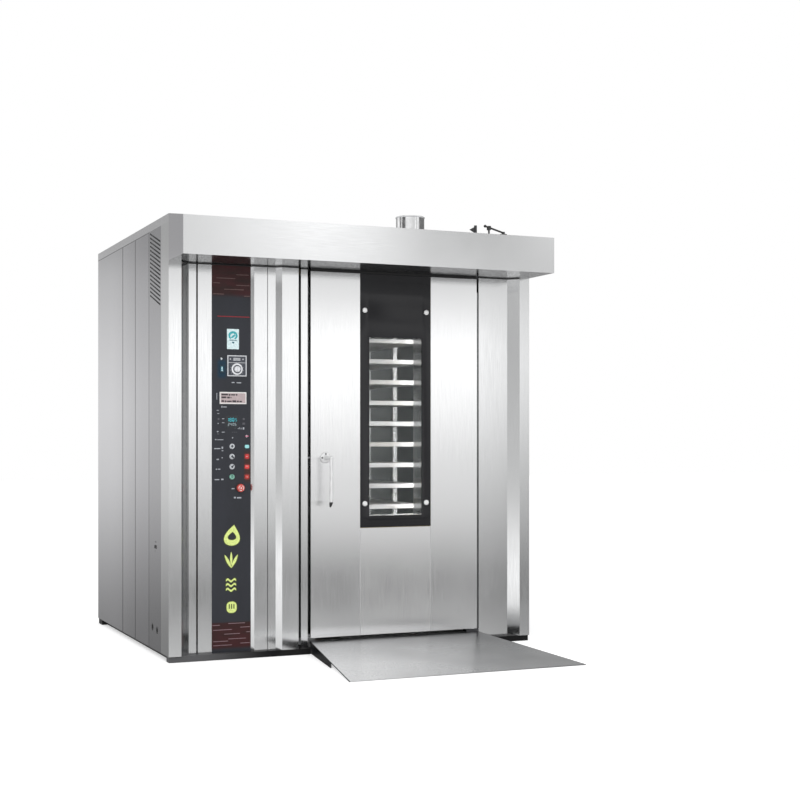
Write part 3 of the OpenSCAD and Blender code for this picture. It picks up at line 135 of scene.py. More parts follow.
def room_light(world):
    """White for the camera; for metal, what stands around the oven; even for matt surfaces."""
    sky = Shading(world)
    toward = sky.axes(sky.node("ShaderNodeTexCoord", out="Generated"))
    rise = toward[2]
    turn = sky.maths("ARCTAN2", toward[0], toward[1] * -1.0) * (180 / math.pi)
    away = sky.maths("ABSOLUTE", turn)
    front = sky.levels(rise, [
        (-0.25, 0.62), (-0.155, 0.82), (-0.130, 0.60), (-0.119, 0.03), (-0.097, 0.01), (-0.0854, 0.46), (-0.0576, 0.74),
        (-0.0297, 0.84), (0.0, 1.07), (0.0209, 1.27), (0.0488, 1.54), (0.0767, 1.6), (0.0976, 1.08), (0.108, 0.62),
            (0.125, 0.6)])
    left = sky.levels(rise, [
        (-0.25, 0.60), (-0.145, 0.70), (-0.127, 0.85), (-0.106, 1.55), (-0.080, 1.50), (-0.070, 1.2), (-0.062, 0.74),
        (-0.045, 0.60), (-0.0297, 0.58), (0.0, 0.66), (0.0209, 0.66), (0.0488, 0.54), (0.0767, 0.54), (0.0976, 0.60),
            (0.15, 0.62)])
    back = sky.levels(rise, [
        (-0.25, 0.18), (-0.127, 0.25), (-0.106, 0.33), (-0.0854, 0.43), (-0.0576, 0.59), (-0.0297, 0.73), (0.0, 0.80),
        (0.0209, 0.83), (0.0488, 0.78), (0.0767, 0.70), (0.0976, 0.62), (0.15, 0.58)])
    right = sky.levels(rise, [
        (-0.25, 0.14), (-0.127, 0.14), (-0.106, 0.15), (-0.0854, 0.26), (-0.0576, 0.335), (-0.0297, 0.41), (0.0, 0.49),
        (0.0209, 0.42), (0.0488, 0.44), (0.0767, 0.32), (0.0976, 0.28), (0.15, 0.27)])
    fall = sky.levels(turn, [(20.0, 1.0), (25.3, 1.0), (27.1, 0.95), (28.8, 0.58), (30.5, 0.52), (33.0, 1.0),
        (70.0, 0.9)])
    facing = sky.between(sky.slope(turn, -48.0, -20.0), left, front * fall)
    facing = sky.between(sky.slope(away, 112.0, 125.0), facing, back)
    facing = sky.between(sky.levels(turn, [(56.0, 0.0), (70.0, 1.0), (116.0, 1.0), (128.0, 0.0)]), facing, right)
    overhead = sky.levels(turn, [
        (-180.0, 0.42), (-152.0, 0.42), (-146.0, 1.2), (-120.0, 1.2), (-116.0, 0.1),
        (-104.0, 0.1), (-100.0, 1.2), (-95.0, 1.2), (-91.0, 0.03), (-65.0, 0.03), (-60.0, 1.15), (-40.0, 1.2),
            (5.0, 0.74),
        (15.1, 0.80), (17.1, 1.05), (18.3, 1.20), (20.7, 1.54), (22.0, 1.44), (23.2, 1.08), (24.3, 0.72), (25.4, 0.34),
        (26.6, 0.32), (27.6, 0.56), (29.1, 0.95), (48.0, 1.1), (56.0, 0.16), (128.0, 0.2), (140.0, 0.42),
            (180.0, 0.42)])
    mirrored = sky.between(sky.slope(rise, 0.112, 0.126), facing, overhead)
    mirrored = sky.between(sky.slope(rise, 0.20, 0.32), mirrored, 0.92)
    mirrored = sky.between(sky.slope(rise, -0.18, -0.26), mirrored, 0.66)
    rays = sky.tree.nodes.new("ShaderNodeLightPath")
    is_mirror = Wire(sky.tree, rays.outputs["Is Glossy Ray"])
    is_camera = Wire(sky.tree, rays.outputs["Is Camera Ray"])
    is_through = Wire(sky.tree, rays.outputs["Is Transmission Ray"])
    level = is_mirror * mirrored + (1 - is_mirror) * 0.80
    white = sky.maths("MAXIMUM", is_camera, is_through)
    background = sky.tree.nodes["Background"]
    background.inputs["Color"].default_value = (1, 1, 1, 1)
    sky.tree.links.new(sky.between(white, level, 1.0).socket, background.inputs["Strength"])


room = bpy.data.worlds.new("studio")
bpy.context.scene.world = room
room_light(room)
bpy.context.scene.view_settings.view_transform = "Standard"

lone()
bpy.ops.mesh.primitive_plane_add(size=60, location=(0, 0, -0.0005))
floor = bpy.context.object
floor.name = "studio_floor"
floor.visible_glossy = False
ground = Shading(bpy.data.materials.new("floor_white"))
paint = ground.tree.nodes["Principled BSDF"]
paint.inputs["Base Color"].default_value = (0.86, 0.86, 0.86, 1)
paint.inputs["Roughness"].default_value = 0.9
paint.inputs["Specular IOR Level"].default_value = 0.0
rays = ground.tree.nodes.new("ShaderNodeLightPath")
seen = Wire(ground.tree, rays.outputs["Is Camera Ray"])
ground.tree.links.new((seen * 0.42).socket, paint.inputs["Emission Strength"])
paint.inputs["Emission Color"].default_value = (1, 1, 1, 1)
floor.data.materials.append(ground.owner)

lone()
bpy.ops.object.light_add(type="AREA", location=(-2.5, -5.0, 4.5), rotation=(math.radians(50), 0, math.radians(-27)))
key = bpy.context.object
key.name = "soft_key"
key.data.size = 4.0
key.data.energy = 150
key.visible_glossy = False

lone()
bpy.ops.object.camera_add(location=CAMERA_PLACE, rotation=(math.pi / 2, 0, CAMERA_YAW))
camera = bpy.context.object
camera.data.lens = CAMERA_LENS
camera.data.sensor_width = 36.0
camera.data.shift_y = CAMERA_SHIFT
bpy.context.scene.camera = camera

# ---------------------------------------------------------------- base and oven floor
# Black painted skids and plinths carry the cabinet. The oven floor is dull stainless steel with faint
# wiped patches.


class Finish(Shading):
    """A material of one finish, whose pattern follows the object's own coordinates in metres."""

    def __init__(self, name, color, metallic=0.0, roughness=0.5, **sockets):
        super().__init__(bpy.data.materials.new(name))
        self.shader = self.tree.nodes["Principled BSDF"]
        self.set("Base Color", color)
        self.set("Metallic", metallic)
        self.set("Roughness", roughness)
        for socket, value in sockets.items():
            self.set(socket.replace("_", " "), value)
        self.spot = self.node("ShaderNodeTexCoord", out="Object")

    def set(self, socket, value):
        """Puts a number, a colour or a wire on one of the shader's sockets."""
        place = self.shader.inputs[socket]
        if isinstance(value, Wire):
            self.tree.links.new(value.socket, place)
        else:
            place.default_value = (*value, 1) if isinstance(value, tuple) else value

    def noise(self, scale, detail=2.0, stretch=(1, 1, 1), roughness=0.5):
        """Cloudy variation from 0 to 1, stretched along the axes."""
        moved = self.node("ShaderNodeVectorMath", {0: self.spot, 1: stretch}, operation="MULTIPLY")
        return self.node("ShaderNodeTexNoise",
            {"Vector": moved, "Scale": scale, "Detail": detail, "Roughness": roughness})

    def fit(self, value, low, high, new_low, new_high):
        """Maps a value's range to another, and holds it there."""
        return self.slope(value, low, high, new_low, new_high, soft=False)

    def tint(self, factor, color_a, color_b, kind="MIX"):
        """Mixes two colours, or a wire and a colour."""
        both = [(*c, 1) if isinstance(c, tuple) else c for c in (color_a, color_b)]
        return self.node("ShaderNodeMix", {0: factor, 6: both[0], 7: both[1]}, out=2, data_type="RGBA", blend_type=kind)

    def tone(self):
        """The colour that the shader has so far."""
        return Wire(self.tree, self.shader.inputs["Base Color"].links[0].from_socket)

    def over(self, mask, color, kind="MIX"):
        """Lays a colour over the one so far, where a mask is 1."""
        self.set("Base Color", self.tint(mask, self.tone(), color, kind))

    def varied(self, pattern, first, second, rough, low=0.3, high=0.7):
        """Lets a pattern take the colour from one to another, and the roughness likewise."""
        self.set("Base Color", self.tint(self.fit(pattern, low, high, 0.0, 1.0), first, second))
        self.set("Roughness", self.fit(pattern, low, high, *rough))

    def bump(self, height, distance, strength=1.0):
        """Raises the surface by a height from 0 to 1."""
        self.set("Normal", self.node("ShaderNodeBump", {"Height": height, "Distance": distance, "Strength": strength}))

    def on(self, *names):
        """Gives the finish to CAD nodes."""
        for name in names:
            cad = nodes[name]
            cad.data.materials.clear()
            cad.data.materials.append(self.owner)


def shade(color, by):
    """A colour made darker or lighter."""
    return tuple(c * by for c in color)


def black_paint(name, tone=0.022):
    """Satin black paint with faint dust and rub marks."""
    paint = Finish(name, (tone, tone, tone * 1.05), roughness=0.42)
    dust = paint.noise(7.0, 4.0)
    grit = paint.noise(900.0, 1.0)
    paint.set("Base Color", paint.tint(paint.fit(dust, 0.45, 0.75, 0.0, 0.5), (tone, tone, tone * 1.05),
        (tone * 2.4, tone * 2.4, tone * 2.3)))
    paint.set("Roughness", paint.fit(dust, 0.3, 0.7, 0.36, 0.55))
    paint.bump(grit, 0.0002, 0.5)
    return paint


def sheet_steel(name, tone=(0.78, 0.785, 0.79), roughness=0.15, grain=(1, 1, 0.012), sway=0.0006, marks=0.03):
    """Stainless sheet: a fine grain along one axis, a faint sway in the plane, and a few wiped patches."""
    steel = Finish(name, tone, metallic=1.0, roughness=roughness)
    brush = steel.noise(900.0, 2.0, grain, 0.6)
    wiped = steel.noise(2.4, 3.0)
    large = steel.noise(1.3, 1.0, (1, 1, 0.5))
    darker = shade(tone, 0.93)
    steel.set("Base Color", steel.tint(steel.fit(brush, 0.3, 0.7, 0.0, 1.0), tone, darker))
    steel.set("Roughness", steel.fit(brush, 0.3, 0.7, roughness - 0.02, roughness + 0.03) + steel.fit(wiped, 0.4,
        0.7, 0.0, marks))
    fine = steel.node("ShaderNodeBump", {"Height": brush, "Distance": 0.00003, "Strength": 0.5})
    steel.set("Normal", steel.node("ShaderNodeBump",
        {"Height": large, "Distance": sway, "Strength": 0.6, "Normal": fine}))
    return steel


PLINTH_SHADE_SPAN = (-0.45, -0.88)

base_black = black_paint("base_black_paint", 0.010)
base_black.set("Specular IOR Level", 0.2)
base_black.on("base_frame")
plinth_black_dust_and_shade = black_paint("plinth_black_paint", 0.012)
plinth_black_dust_and_shade.set("Specular IOR Level", 0.06)
plinth_x = plinth_black_dust_and_shade.axes(plinth_black_dust_and_shade.spot)[0]
# Painted light and shade: the front plinth is lighter at its left end and darker to the right, where shade falls under
# the oven.
plinth_black_dust_and_shade.over(plinth_black_dust_and_shade.slope(plinth_x, *PLINTH_SHADE_SPAN), (0.11, 0.11, 0.114))
plinth_black_dust_and_shade.on("front_plinth")
pan_steel = sheet_steel("oven_floor_steel", (0.52, 0.525, 0.53), 0.3, (0.012, 1, 1), marks=0.15)
pan_steel.on("floor_pan")

# ---------------------------------------------------------------- cabinet sheets
# Stainless sheets stand side by side with open seams. The roof closes them with a turned-down edge,
# and the sheets at the back are zinc coated.

SIDE_SHADE_SPAN = (0.92, 0.05)
SIDE_TOP = 2.160
SIDE_SEAMS = (-0.012, 0.296, 0.599)

side_steel = sheet_steel("side_sheet_steel", (0.72, 0.717, 0.74), 0.17)
_, side_back, side_up = side_steel.axes(side_steel.spot)
# Painted shade: the side sheets are darker towards the front.
side_steel.over(side_steel.slope(side_back, *SIDE_SHADE_SPAN), (0.50, 0.496, 0.518))
# Painted shade: dark lines along the top edge under the hood and beside each seam.
shaded = side_steel.slope(side_up, SIDE_TOP - 0.006, SIDE_TOP - 0.004)
for seam in SIDE_SEAMS:
    from_seam = side_steel.maths("ABSOLUTE", side_back - seam)
    shaded = side_steel.maths("MAXIMUM", shaded, side_steel.slope(from_seam, 0.013, 0.003))
side_steel.over(shaded, (0.20, 0.20, 0.21))
side_steel.on("side_panels")
roof_steel = sheet_steel("roof_sheet_steel", (0.80, 0.80, 0.815), 0.17)
roof_steel.on("roof_panel")


def zinc_sheet(name):
    """Zinc coated sheet with its crystal flakes."""
    zinc = Finish(name, (0.70, 0.71, 0.72), metallic=1.0, roughness=0.38)
    flakes = zinc.node("ShaderNodeTexVoronoi", {"Vector": zinc.spot, "Scale": 60.0}, out="Color")
    flake = zinc.axes(flakes)[0]
    zinc.set("Base Color", zinc.tint(flake, (0.66, 0.67, 0.685), (0.76, 0.77, 0.775)))
    zinc.set("Roughness", zinc.fit(flake, 0.0, 1.0, 0.34, 0.42))
    zinc.bump(flake, 0.0002, 0.3)
    return zinc


zinc = zinc_sheet("zinc_coated_sheet")
zinc.on("rear_panels", "control_gear")

# ---------------------------------------------------------------- louvred service sheet
# The sheet left of the front carries rows of slanted slots near its top. A blade stands behind each slot,
# painted near black as the slots' shade. A blank framed plate and its two marks sit lower down.

LOUVRES = 16
LOUVRE_PITCH = 21
LOUVRE_LOW = 2078
LOUVRE_SLOPE = 17
LOUVRE_FRONT = 166
LOUVRE_LENGTH = 223
PLATE = ((228, 604), (318, 631))
MARKS = ((262, 577, 16, 2.6), (273, 531, 3.6, 3.6))


def place(x, y, z):
    """Metres in the model's frame for millimetres from the left side, the posts' front and the floor."""
    return Vector((x - 1000, y - 415, z)) / 1000


def block(name, low, high):
    """A block between two corners, the start of a sheet metal or moulded piece."""
    lone()
    low, high = place(*low), place(*high)
    bpy.ops.mesh.primitive_cube_add(size=1, location=(low + high) / 2)
    piece = bpy.context.object
    piece.name = name
    piece.scale = high - low
    bpy.ops.object.transform_apply(location=True, rotation=True, scale=True)
    return piece


def take(piece, mode="OBJECT"):
    """Makes a piece the only one selected, in object or edit mode."""
    lone()
    piece.select_set(True)
    bpy.context.view_layer.objects.active = piece
    if mode == "EDIT":
        bpy.ops.object.mode_set(mode="EDIT")
        bpy.ops.mesh.select_all(action="DESELECT")
    return piece


def whole(piece):
    """Edit mode with all of a piece selected, edges without faces too."""
    take(piece, "EDIT")
    bpy.ops.mesh.select_mode(type="VERT")
    bpy.ops.mesh.select_all(action="SELECT")


def tidied(gap=0.00002):
    """Joins doubled points and turns the faces outwards."""
    bpy.ops.mesh.select_all(action="SELECT")
    bpy.ops.mesh.remove_doubles(threshold=gap)
    bpy.ops.mesh.normals_make_consistent(inside=False)


def pulled(x=0.0, y=0.0, z=0.0):
    """Extrudes the selection by metres along the axes."""
    bpy.ops.mesh.extrude_region_move(TRANSFORM_OT_translate={"value": (x, y, z)})


def pick(piece, test, kind="faces"):
    """Edit mode with the faces, edges or vertices selected whose middle and normal pass a test."""
    take(piece, "EDIT")
    bpy.ops.mesh.select_mode(type={"faces": "FACE", "edges": "EDGE", "verts": "VERT"}[kind])
    shape = bmesh.from_edit_mesh(piece.data)
    for part in getattr(shape, kind):
        if kind == "faces":
            middle, facing = part.calc_center_median(), part.normal
        elif kind == "edges":
            middle, facing = (part.verts[0].co + part.verts[1].co) / 2, (part.verts[1].co - part.verts[0].co).normalized()
        else:
            middle, facing = part.co, part.normal
        part.select_set(bool(test(middle, facing)))
    shape.select_flush_mode()
    bmesh.update_edit_mesh(piece.data)


def turn(piece, degrees, axis, pivot):
    """Turns a piece about an axis through a point."""
    whole(piece)
    bpy.ops.transform.rotate(value=math.radians(-degrees), orient_axis=axis, orient_type="GLOBAL",
        center_override=place(*pivot))
    lone()
    return piece


def copied(piece, name):
    """A copy of a piece with its own mesh."""
    twin = piece.copy()
    twin.data = piece.data.copy()
    twin.name = name
    bpy.context.scene.collection.objects.link(twin)
    return twin


def moved(piece, x=0.0, y=0.0, z=0.0):
    """Shifts a piece's mesh by millimetres."""
    whole(piece)
    bpy.ops.transform.translate(value=(x / 1000, y / 1000, z / 1000))
    lone()
    return piece


def joined(name, pieces):
    """Makes one piece of several."""
    lone()
    for piece in pieces:
        piece.select_set(True)
    bpy.context.view_layer.objects.active = pieces[0]
    if len(pieces) > 1:
        bpy.ops.object.join()
    pieces[0].name = name
    return pieces[0]


def finished(piece, finish, body, stands_for=(), ease=0.0, steps=2):
    """Eases a piece's edges, smooths it, gives it its finish, and hangs it on the body that carries it."""
    take(piece)
    if ease:
        bevel = piece.modifiers.new("eased_edges", "BEVEL")
        bevel.width, bevel.segments, bevel.limit_method = ease / 1000, steps, "ANGLE"
        bevel.angle_limit = math.radians(40)
        bpy.ops.object.modifier_apply(modifier=bevel.name)
    bpy.ops.object.shade_smooth_by_angle(angle=math.radians(38))
    piece.data.materials.clear()
    piece.data.materials.append(finish.owner)
    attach(piece, body)
    if stands_for:
        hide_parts(*stands_for)
    return piece


def laid(line, kind, points):
    """Adds a run of points to a curve."""
    spline = line.splines.new(kind)
    spline.points.add(len(points) - 1)
    for point, spot in zip(spline.points, points):
        point.co = (*spot, 1)
    return spline


def curve_piece(name, line):
    """A mesh piece made of a curve."""
    piece = bpy.data.objects.new(name, line)
    bpy.context.scene.collection.objects.link(piece)
    take(piece)
    bpy.ops.object.convert(target="MESH")
    return piece


louvre_steel = sheet_steel("louvre_sheet_steel", (0.445, 0.443, 0.46), 0.17)
_, side_y, side_z = louvre_steel.axes(louvre_steel.spot)


def patch(steel, across, up, middle, size, soft=0.0012):
    """1 inside an upright rounded rectangle of the given middle and size in metres, 0 outside it."""
    wide = steel.maths("ABSOLUTE", across - middle[0])
    high = steel.maths("ABSOLUTE", up - middle[1])
    return steel.slope(wide, size[0] + soft, size[0] - soft) * steel.slope(high, size[1] + soft, size[1] - soft)


dark_marks = None
for mark_y, mark_z, half_wide, half_high in MARKS:
    spot = place(0, mark_y, mark_z)
    dot = patch(louvre_steel, side_y, side_z, (spot.y, spot.z), (half_wide / 1000, half_high / 1000))
    dark_marks = dot if dark_marks is None else louvre_steel.maths("MAXIMUM", dark_marks, dot)
louvre_steel.over(dark_marks, (0.03, 0.03, 0.032))
louvre_steel.on("louvre_panel")

# Painted shade: the blades are near black, standing for the shade inside the slots.
blade_steel_shade = sheet_steel("louvre_blade_shade_steel", (0.06, 0.061, 0.063), 0.45)
blades = []
for row in range(LOUVRES):
    z = LOUVRE_LOW - LOUVRE_PITCH * row
    blade = block("louvre_blade", (2.1, LOUVRE_FRONT - 4, z - 3), (3.1, LOUVRE_FRONT + LOUVRE_LENGTH + 4, z + 13))
    pick(blade, lambda middle, facing: facing.z < -0.5)
    pulled(0.009, 0, -0.004)
    blades.append(turn(blade, LOUVRE_SLOPE, "X", (2.1, LOUVRE_FRONT, z)))
finished(joined("louvre_blades", blades), blade_steel_shade, "cabinet", ease=0.4, steps=1)


def moulded(name, color, roughness=0.35, sway=0.12, **sockets):
    """Moulded plastic or rubber: even colour with a faint flow pattern and a fine skin."""
    plastic = Finish(name, color, roughness=roughness, **sockets)
    lighter = tuple(min(1.0, c * (1 + sway) + 0.003) for c in color)
    darker = shade(color, 1 - sway)
    plastic.varied(plastic.noise(60.0, 3.0), darker, lighter, (roughness - 0.05, roughness + 0.08))
    plastic.bump(plastic.noise(1400.0, 1.0), 0.00008, 0.4)
    return plastic


plate_plastic = moulded("plate_grey_plastic", (0.34, 0.345, 0.36), 0.3)
_, plate_across, plate_up = plate_plastic.axes(plate_plastic.spot)
plate_at = place(0, (PLATE[0][0] + PLATE[1][0]) / 2, (PLATE[0][1] + PLATE[1][1]) / 2)
plate_inside = patch(plate_plastic, plate_across, plate_up, (plate_at.y, plate_at.z), (0.034, 0.0075))
plate_plastic.over(1 - plate_inside, (0.012, 0.012, 0.014))
black_plastic = moulded("black_moulding", (0.014, 0.014, 0.015), 0.42, 0.2)
(plate_y0, plate_z0), (plate_y1, plate_z1) = PLATE
plate = block("side_plate", (0.05, plate_y0, plate_z0), (2.0, plate_y1, plate_z1))
pick(plate, lambda middle, facing: facing.x < -0.5)
bpy.ops.mesh.inset(thickness=0.0035)
bpy.ops.transform.translate(value=(0.0008, 0, 0))
lone()

# ---------------------------------------------------------------- cable inlets
# Two black moulded glands low on the side, each a flanged body with a six-sided nut, take the supply
# line and the signal cable. A small blank socket sits above them.

GLANDS = ((328, 140), (232, 134))
GLAND_REACH = 30
GLAND_RADIUS = 19
GLAND_BORE = 10
GLAND_FLANGE = 25
SOCKET = ((236, 543), (288, 561))


def turned(name, centre, toward, profile, sides=40, hollow=False):
    """A round piece drawn out of a disc, ring by ring, as (radius, distance along its axis) in millimetres."""
    lone()
    first_radius, first_along = profile[0]
    bpy.ops.mesh.primitive_circle_add(vertices=sides, radius=first_radius / 1000,
        fill_type="NOTHING" if hollow else "NGON")
    piece = bpy.context.object
    piece.name = name
    whole(piece)
    bpy.ops.transform.translate(value=(0, 0, first_along / 1000))
    stations = list(profile) + ([profile[0]] if hollow else [])
    for (old_radius, old_along), (radius, along) in zip(stations, stations[1:]):
        pulled(0, 0, (along - old_along) / 1000)
        bpy.ops.transform.resize(value=(radius / old_radius, radius / old_radius, 1), center_override=(0, 0, 0))
    tidied()
    bpy.ops.object.mode_set(mode="OBJECT")
    piece.rotation_euler = Vector((0, 0, 1)).rotation_difference(Vector(toward)).to_euler()
    piece.location = place(*centre)
    bpy.ops.object.transform_apply(location=True, rotation=True, scale=True)
    return piece


glands = []
for gland_y, gland_z in GLANDS:
    body = turned("gland_body", (0, gland_y, gland_z), (1, 0, 0), [
        (GLAND_BORE, 0.2), (GLAND_RADIUS - 4, 0.2), (GLAND_RADIUS - 1, 1.0), (GLAND_RADIUS, 2.2), (GLAND_RADIUS, 22),
            (GLAND_RADIUS - 2, 24),
        (GLAND_RADIUS - 2, GLAND_REACH), (GLAND_BORE, GLAND_REACH)], hollow=True)
    flange = turned("gland_flange", (0, gland_y, gland_z), (1, 0, 0), [
        (GLAND_RADIUS - 1, 2.0), (GLAND_FLANGE, 2.0), (GLAND_FLANGE, 7.0), (GLAND_RADIUS - 1, 7.0)], 6, hollow=True)
    glands += [body, flange]
(socket_y0, socket_z0), (socket_y1, socket_z1) = SOCKET
socket = block("blank_socket", (0.5, socket_y0, socket_z0), (GLAND_REACH, socket_y1, socket_z1))
pick(socket, lambda middle, facing: facing.x < -0.5)
bpy.ops.mesh.inset(thickness=0.003)
pulled(0.002, 0, 0)
lone()
finished(plate, plate_plastic, "cabinet", ease=0.5)
finished(joined("cable_glands", glands + [socket]), black_plastic, "cabinet", ("cable_inlets",),
    ease=0.6)

# ---------------------------------------------------------------- front columns
# Folded stainless sheets make the corner post, the control column, the stepped middle column, the door
# frame and the right column. Their grain runs upwards.

front_steel = sheet_steel("front_sheet_steel", (0.78, 0.785, 0.79), 0.13)
front_steel.on("left_corner_post", "control_column", "mid_column", "door_frame", "right_column")

# A black sealing cord closes the joint between the folded fronts and the hood, and a flat strip the gap
# above the door. Their black also stands as painted shade for the dark shadow gap under the hood.
JOINT_CORDS = (((66, 0), (115, 49), (231, 49), (434, 49), (448, 35), (561, 35), (587, 9), (675, 9)),
    ((702, 49), (738, 49)), ((1717, 49), (1890, 49), (1940, 0)))
CORD_Z = 1967.6

cord_line = bpy.data.curves.new("joint_cord", "CURVE")
cord_line.dimensions = "3D"
cord_line.bevel_depth, cord_line.bevel_resolution, cord_line.use_fill_caps = 0.0032, 2, True
for run in JOINT_CORDS:
    laid(cord_line, "POLY", [place(x, y, CORD_Z) for x, y in run])
cord = curve_piece("joint_cord", cord_line)
seal_rubber_gap_shade = moulded("black_seal_rubber_gap_shade", (0.010, 0.010, 0.0105), 0.6, 0.2)
head_strip = block("door_head_strip", (757, 51, 1959.4), (1703, 66, 1970.6))
finished(joined("front_joint_seal", [cord, head_strip]), seal_rubber_gap_shade, "cabinet", ease=0.5, steps=1)

# ---------------------------------------------------------------- hood and ramp
# The hood is one folded sheet over the whole front, with the grain along it and a darker perforated
# underside. The ramp is thicker plate with painted shade: darker to the right, by the door and at its cheeks.

HOOD_END_SHADE = (-0.9984, -0.9992)

hood_steel = sheet_steel("hood_sheet_steel", (0.78, 0.785, 0.79), 0.12, (0.012, 1, 1))
hood_x = hood_steel.axes(hood_steel.spot)[0]
# Painted shade: the hood's left end face is painted darker.
hood_steel.over(hood_steel.slope(hood_x, *HOOD_END_SHADE), (0.67, 0.665, 0.69))
hood_steel.on("hood")
underside_steel = sheet_steel("underside_sheet_steel", (0.55, 0.555, 0.56), 0.18, (0.012, 1, 1))
holes = underside_steel.fit(underside_steel.noise(170.0, 2.0, (1, 0.15, 1)), 0.42, 0.60, 0.0, 1.0)
underside_steel.set("Base Color", underside_steel.tint(holes, (0.66, 0.665, 0.67), (0.30, 0.305, 0.31)))
underside_steel.on("hood_underside")
RAMP_MIDDLE = 1230
RAMP_HALF_AT_DOOR = 0.480
RAMP_SPLAY = 0.151
RAMP_SHADE_SPAN = (640, 1680)
RAMP_SHADE_BY_DOOR = (-0.95, -0.43)

ramp_steel = sheet_steel("ramp_plate_steel", (0.80, 0.805, 0.81), 0.26, (1, 0.012, 1), sway=0.0012, marks=0.1)
ramp_x, ramp_y, _ = ramp_steel.axes(ramp_steel.spot)
# Painted shade: the ramp darkens towards its right end.
shade_to_right = ramp_steel.slope(ramp_x, place(RAMP_SHADE_SPAN[0], 0, 0).x, place(RAMP_SHADE_SPAN[1], 0, 0).x, soft=False)
from_middle = ramp_steel.maths("ABSOLUTE", ramp_x - place(RAMP_MIDDLE, 0, 0).x)
half_here = (place(0, 50, 0).y - ramp_y) * RAMP_SPLAY + RAMP_HALF_AT_DOOR
# Painted shade: the cheeks and the outer millimetres of the sloping sides are black, standing for the shadow along
# them.
cheek_shade = ramp_steel.slope(from_middle - half_here, -0.0030, -0.0022)
ramp_steel.over(shade_to_right, (0.235, 0.238, 0.242))
# Painted shade: the ramp darkens towards the door.
shade_by_door = ramp_steel.slope(ramp_y, *RAMP_SHADE_BY_DOOR, soft=False)
ramp_steel.over(shade_by_door, (0.58, 0.58, 0.59), "MULTIPLY")
ramp_steel.over(cheek_shade, (0.008, 0.008, 0.009))
ramp_steel.set("Metallic", 1 - cheek_shade)
ramp_steel.set("Specular IOR Level", 0.03)
ramp_steel.on("ramp")
# ---------------------------------------------------------------- walls, liner and heating
# Faced mineral wool fills the walls. The chamber is lined with dull stainless sheet painted dark as the
# chamber's shade, and behind its left wall stand the heat-tinted exchanger, the red burner, the fan with its
# motor and the iron steam cascade.

wool = Finish("faced_mineral_wool", (0.55, 0.47, 0.28), roughness=0.95)
fibres = wool.noise(300.0, 4.0, (1, 1, 0.25))
wool.varied(fibres, (0.42, 0.34, 0.17), (0.66, 0.58, 0.38), (0.85, 1.0))
wool.bump(fibres, 0.002)
wool.on("insulation", "door_insulation")
# Painted shade: the liner, air wall, turntable and fan get a dark tone for the shade inside the chamber.
liner_steel_shade = sheet_steel("liner_sheet_steel_shade", (0.24, 0.25, 0.25), 0.34, (1, 1, 0.02), marks=0.12)
liner_steel_shade.on("chamber_liner", "air_wall", "turntable", "fan_impeller")

scaled = Finish("heat_tinted_plate", (0.38, 0.34, 0.31), metallic=0.85, roughness=0.5)
tinting = scaled.noise(3.0, 4.0)
scaled.set("Base Color", scaled.node("ShaderNodeValToRGB", {0: tinting}, ramp=[
    (0.30, (0.42, 0.37, 0.30)), (0.45, (0.40, 0.27, 0.14)), (0.55, (0.24, 0.16, 0.20)), (0.68, (0.22, 0.26, 0.34)),
        (0.80, (0.40, 0.38, 0.36))]))
scaled.set("Roughness", scaled.fit(tinting, 0.3, 0.7, 0.38, 0.65))
scaled.bump(scaled.noise(250.0, 3.0), 0.0004, 0.6)
scaled.on("heat_exchanger")


def hammer_paint(name, color):
    """Hammer finish paint: shallow round dimples in a glossy coat."""
    paint = Finish(name, color, roughness=0.3, Coat_Weight=0.4, Coat_Roughness=0.12)
    cells = paint.node("ShaderNodeTexVoronoi", {"Vector": paint.spot, "Scale": 260.0}, feature="SMOOTH_F1")
    paint.varied(cells, shade(color, 1.35), shade(color, 0.75), (0.25, 0.4), low=0.1)
    paint.bump(cells, 0.0004, 0.7)
    return paint


burner_paint = hammer_paint("burner_red_paint", (0.42, 0.05, 0.035))
burner_paint.on("burner")
motor_paint = hammer_paint("motor_blue_paint", (0.09, 0.17, 0.27))
motor_paint.on("fan_motor", "drive_gearmotor")

iron = Finish("oiled_iron", (0.17, 0.175, 0.18), metallic=0.75, roughness=0.5)
iron.varied(iron.noise(9.0, 4.0), (0.20, 0.205, 0.21), (0.10, 0.095, 0.09), (0.55, 0.35), low=0.35)
iron.bump(iron.noise(500.0, 2.0), 0.0005, 0.7)
iron.on("steam_generator", "drive_gear", "drive_pinion", "shaft_bearings")

lamp_glow = Finish("lit_lamp_cover", (0.95, 0.88, 0.70), roughness=0.25, Emission_Strength=6.0)
ribs = lamp_glow.node("ShaderNodeTexWave", {"Vector": lamp_glow.spot, "Scale": 60.0, "Distortion": 0.4},
    bands_direction="Z")
lamp_glow.set("Base Color", lamp_glow.tint(ribs, (0.95, 0.86, 0.66), (0.98, 0.93, 0.80)))
lamp_glow.set("Emission Color", lamp_glow.tint(ribs, (0.95, 0.90, 0.80), (1.0, 0.97, 0.90)))
lamp_glow.set("Roughness", lamp_glow.fit(ribs, 0.0, 1.0, 0.2, 0.35))
lamp_glow.bump(ribs, 0.0004, 0.5)
lamp_glow.on("chamber_lamps")
for lamp_x, toward in ((770, -1), (1690, 1)):
    lone()
    bpy.ops.object.light_add(type="AREA", location=place(lamp_x, 262, 1150),
        rotation=(math.pi / 2, 0, math.radians(48 * toward)))
    strip_light = bpy.context.object
    strip_light.name = "chamber_light"
    strip_light.data.shape = "RECTANGLE"
    strip_light.data.size, strip_light.data.size_y = 0.05, 1.5
    strip_light.data.energy = 5
    strip_light.data.color = (0.985, 0.99, 1.0)

# ---------------------------------------------------------------- rack drive and roof
# A blue gearmotor turns the rack's shaft through iron gears above the ceiling. The chimney is bright
# rolled tube whose rim is beaded. The relief valve's lever and its fittings are black.


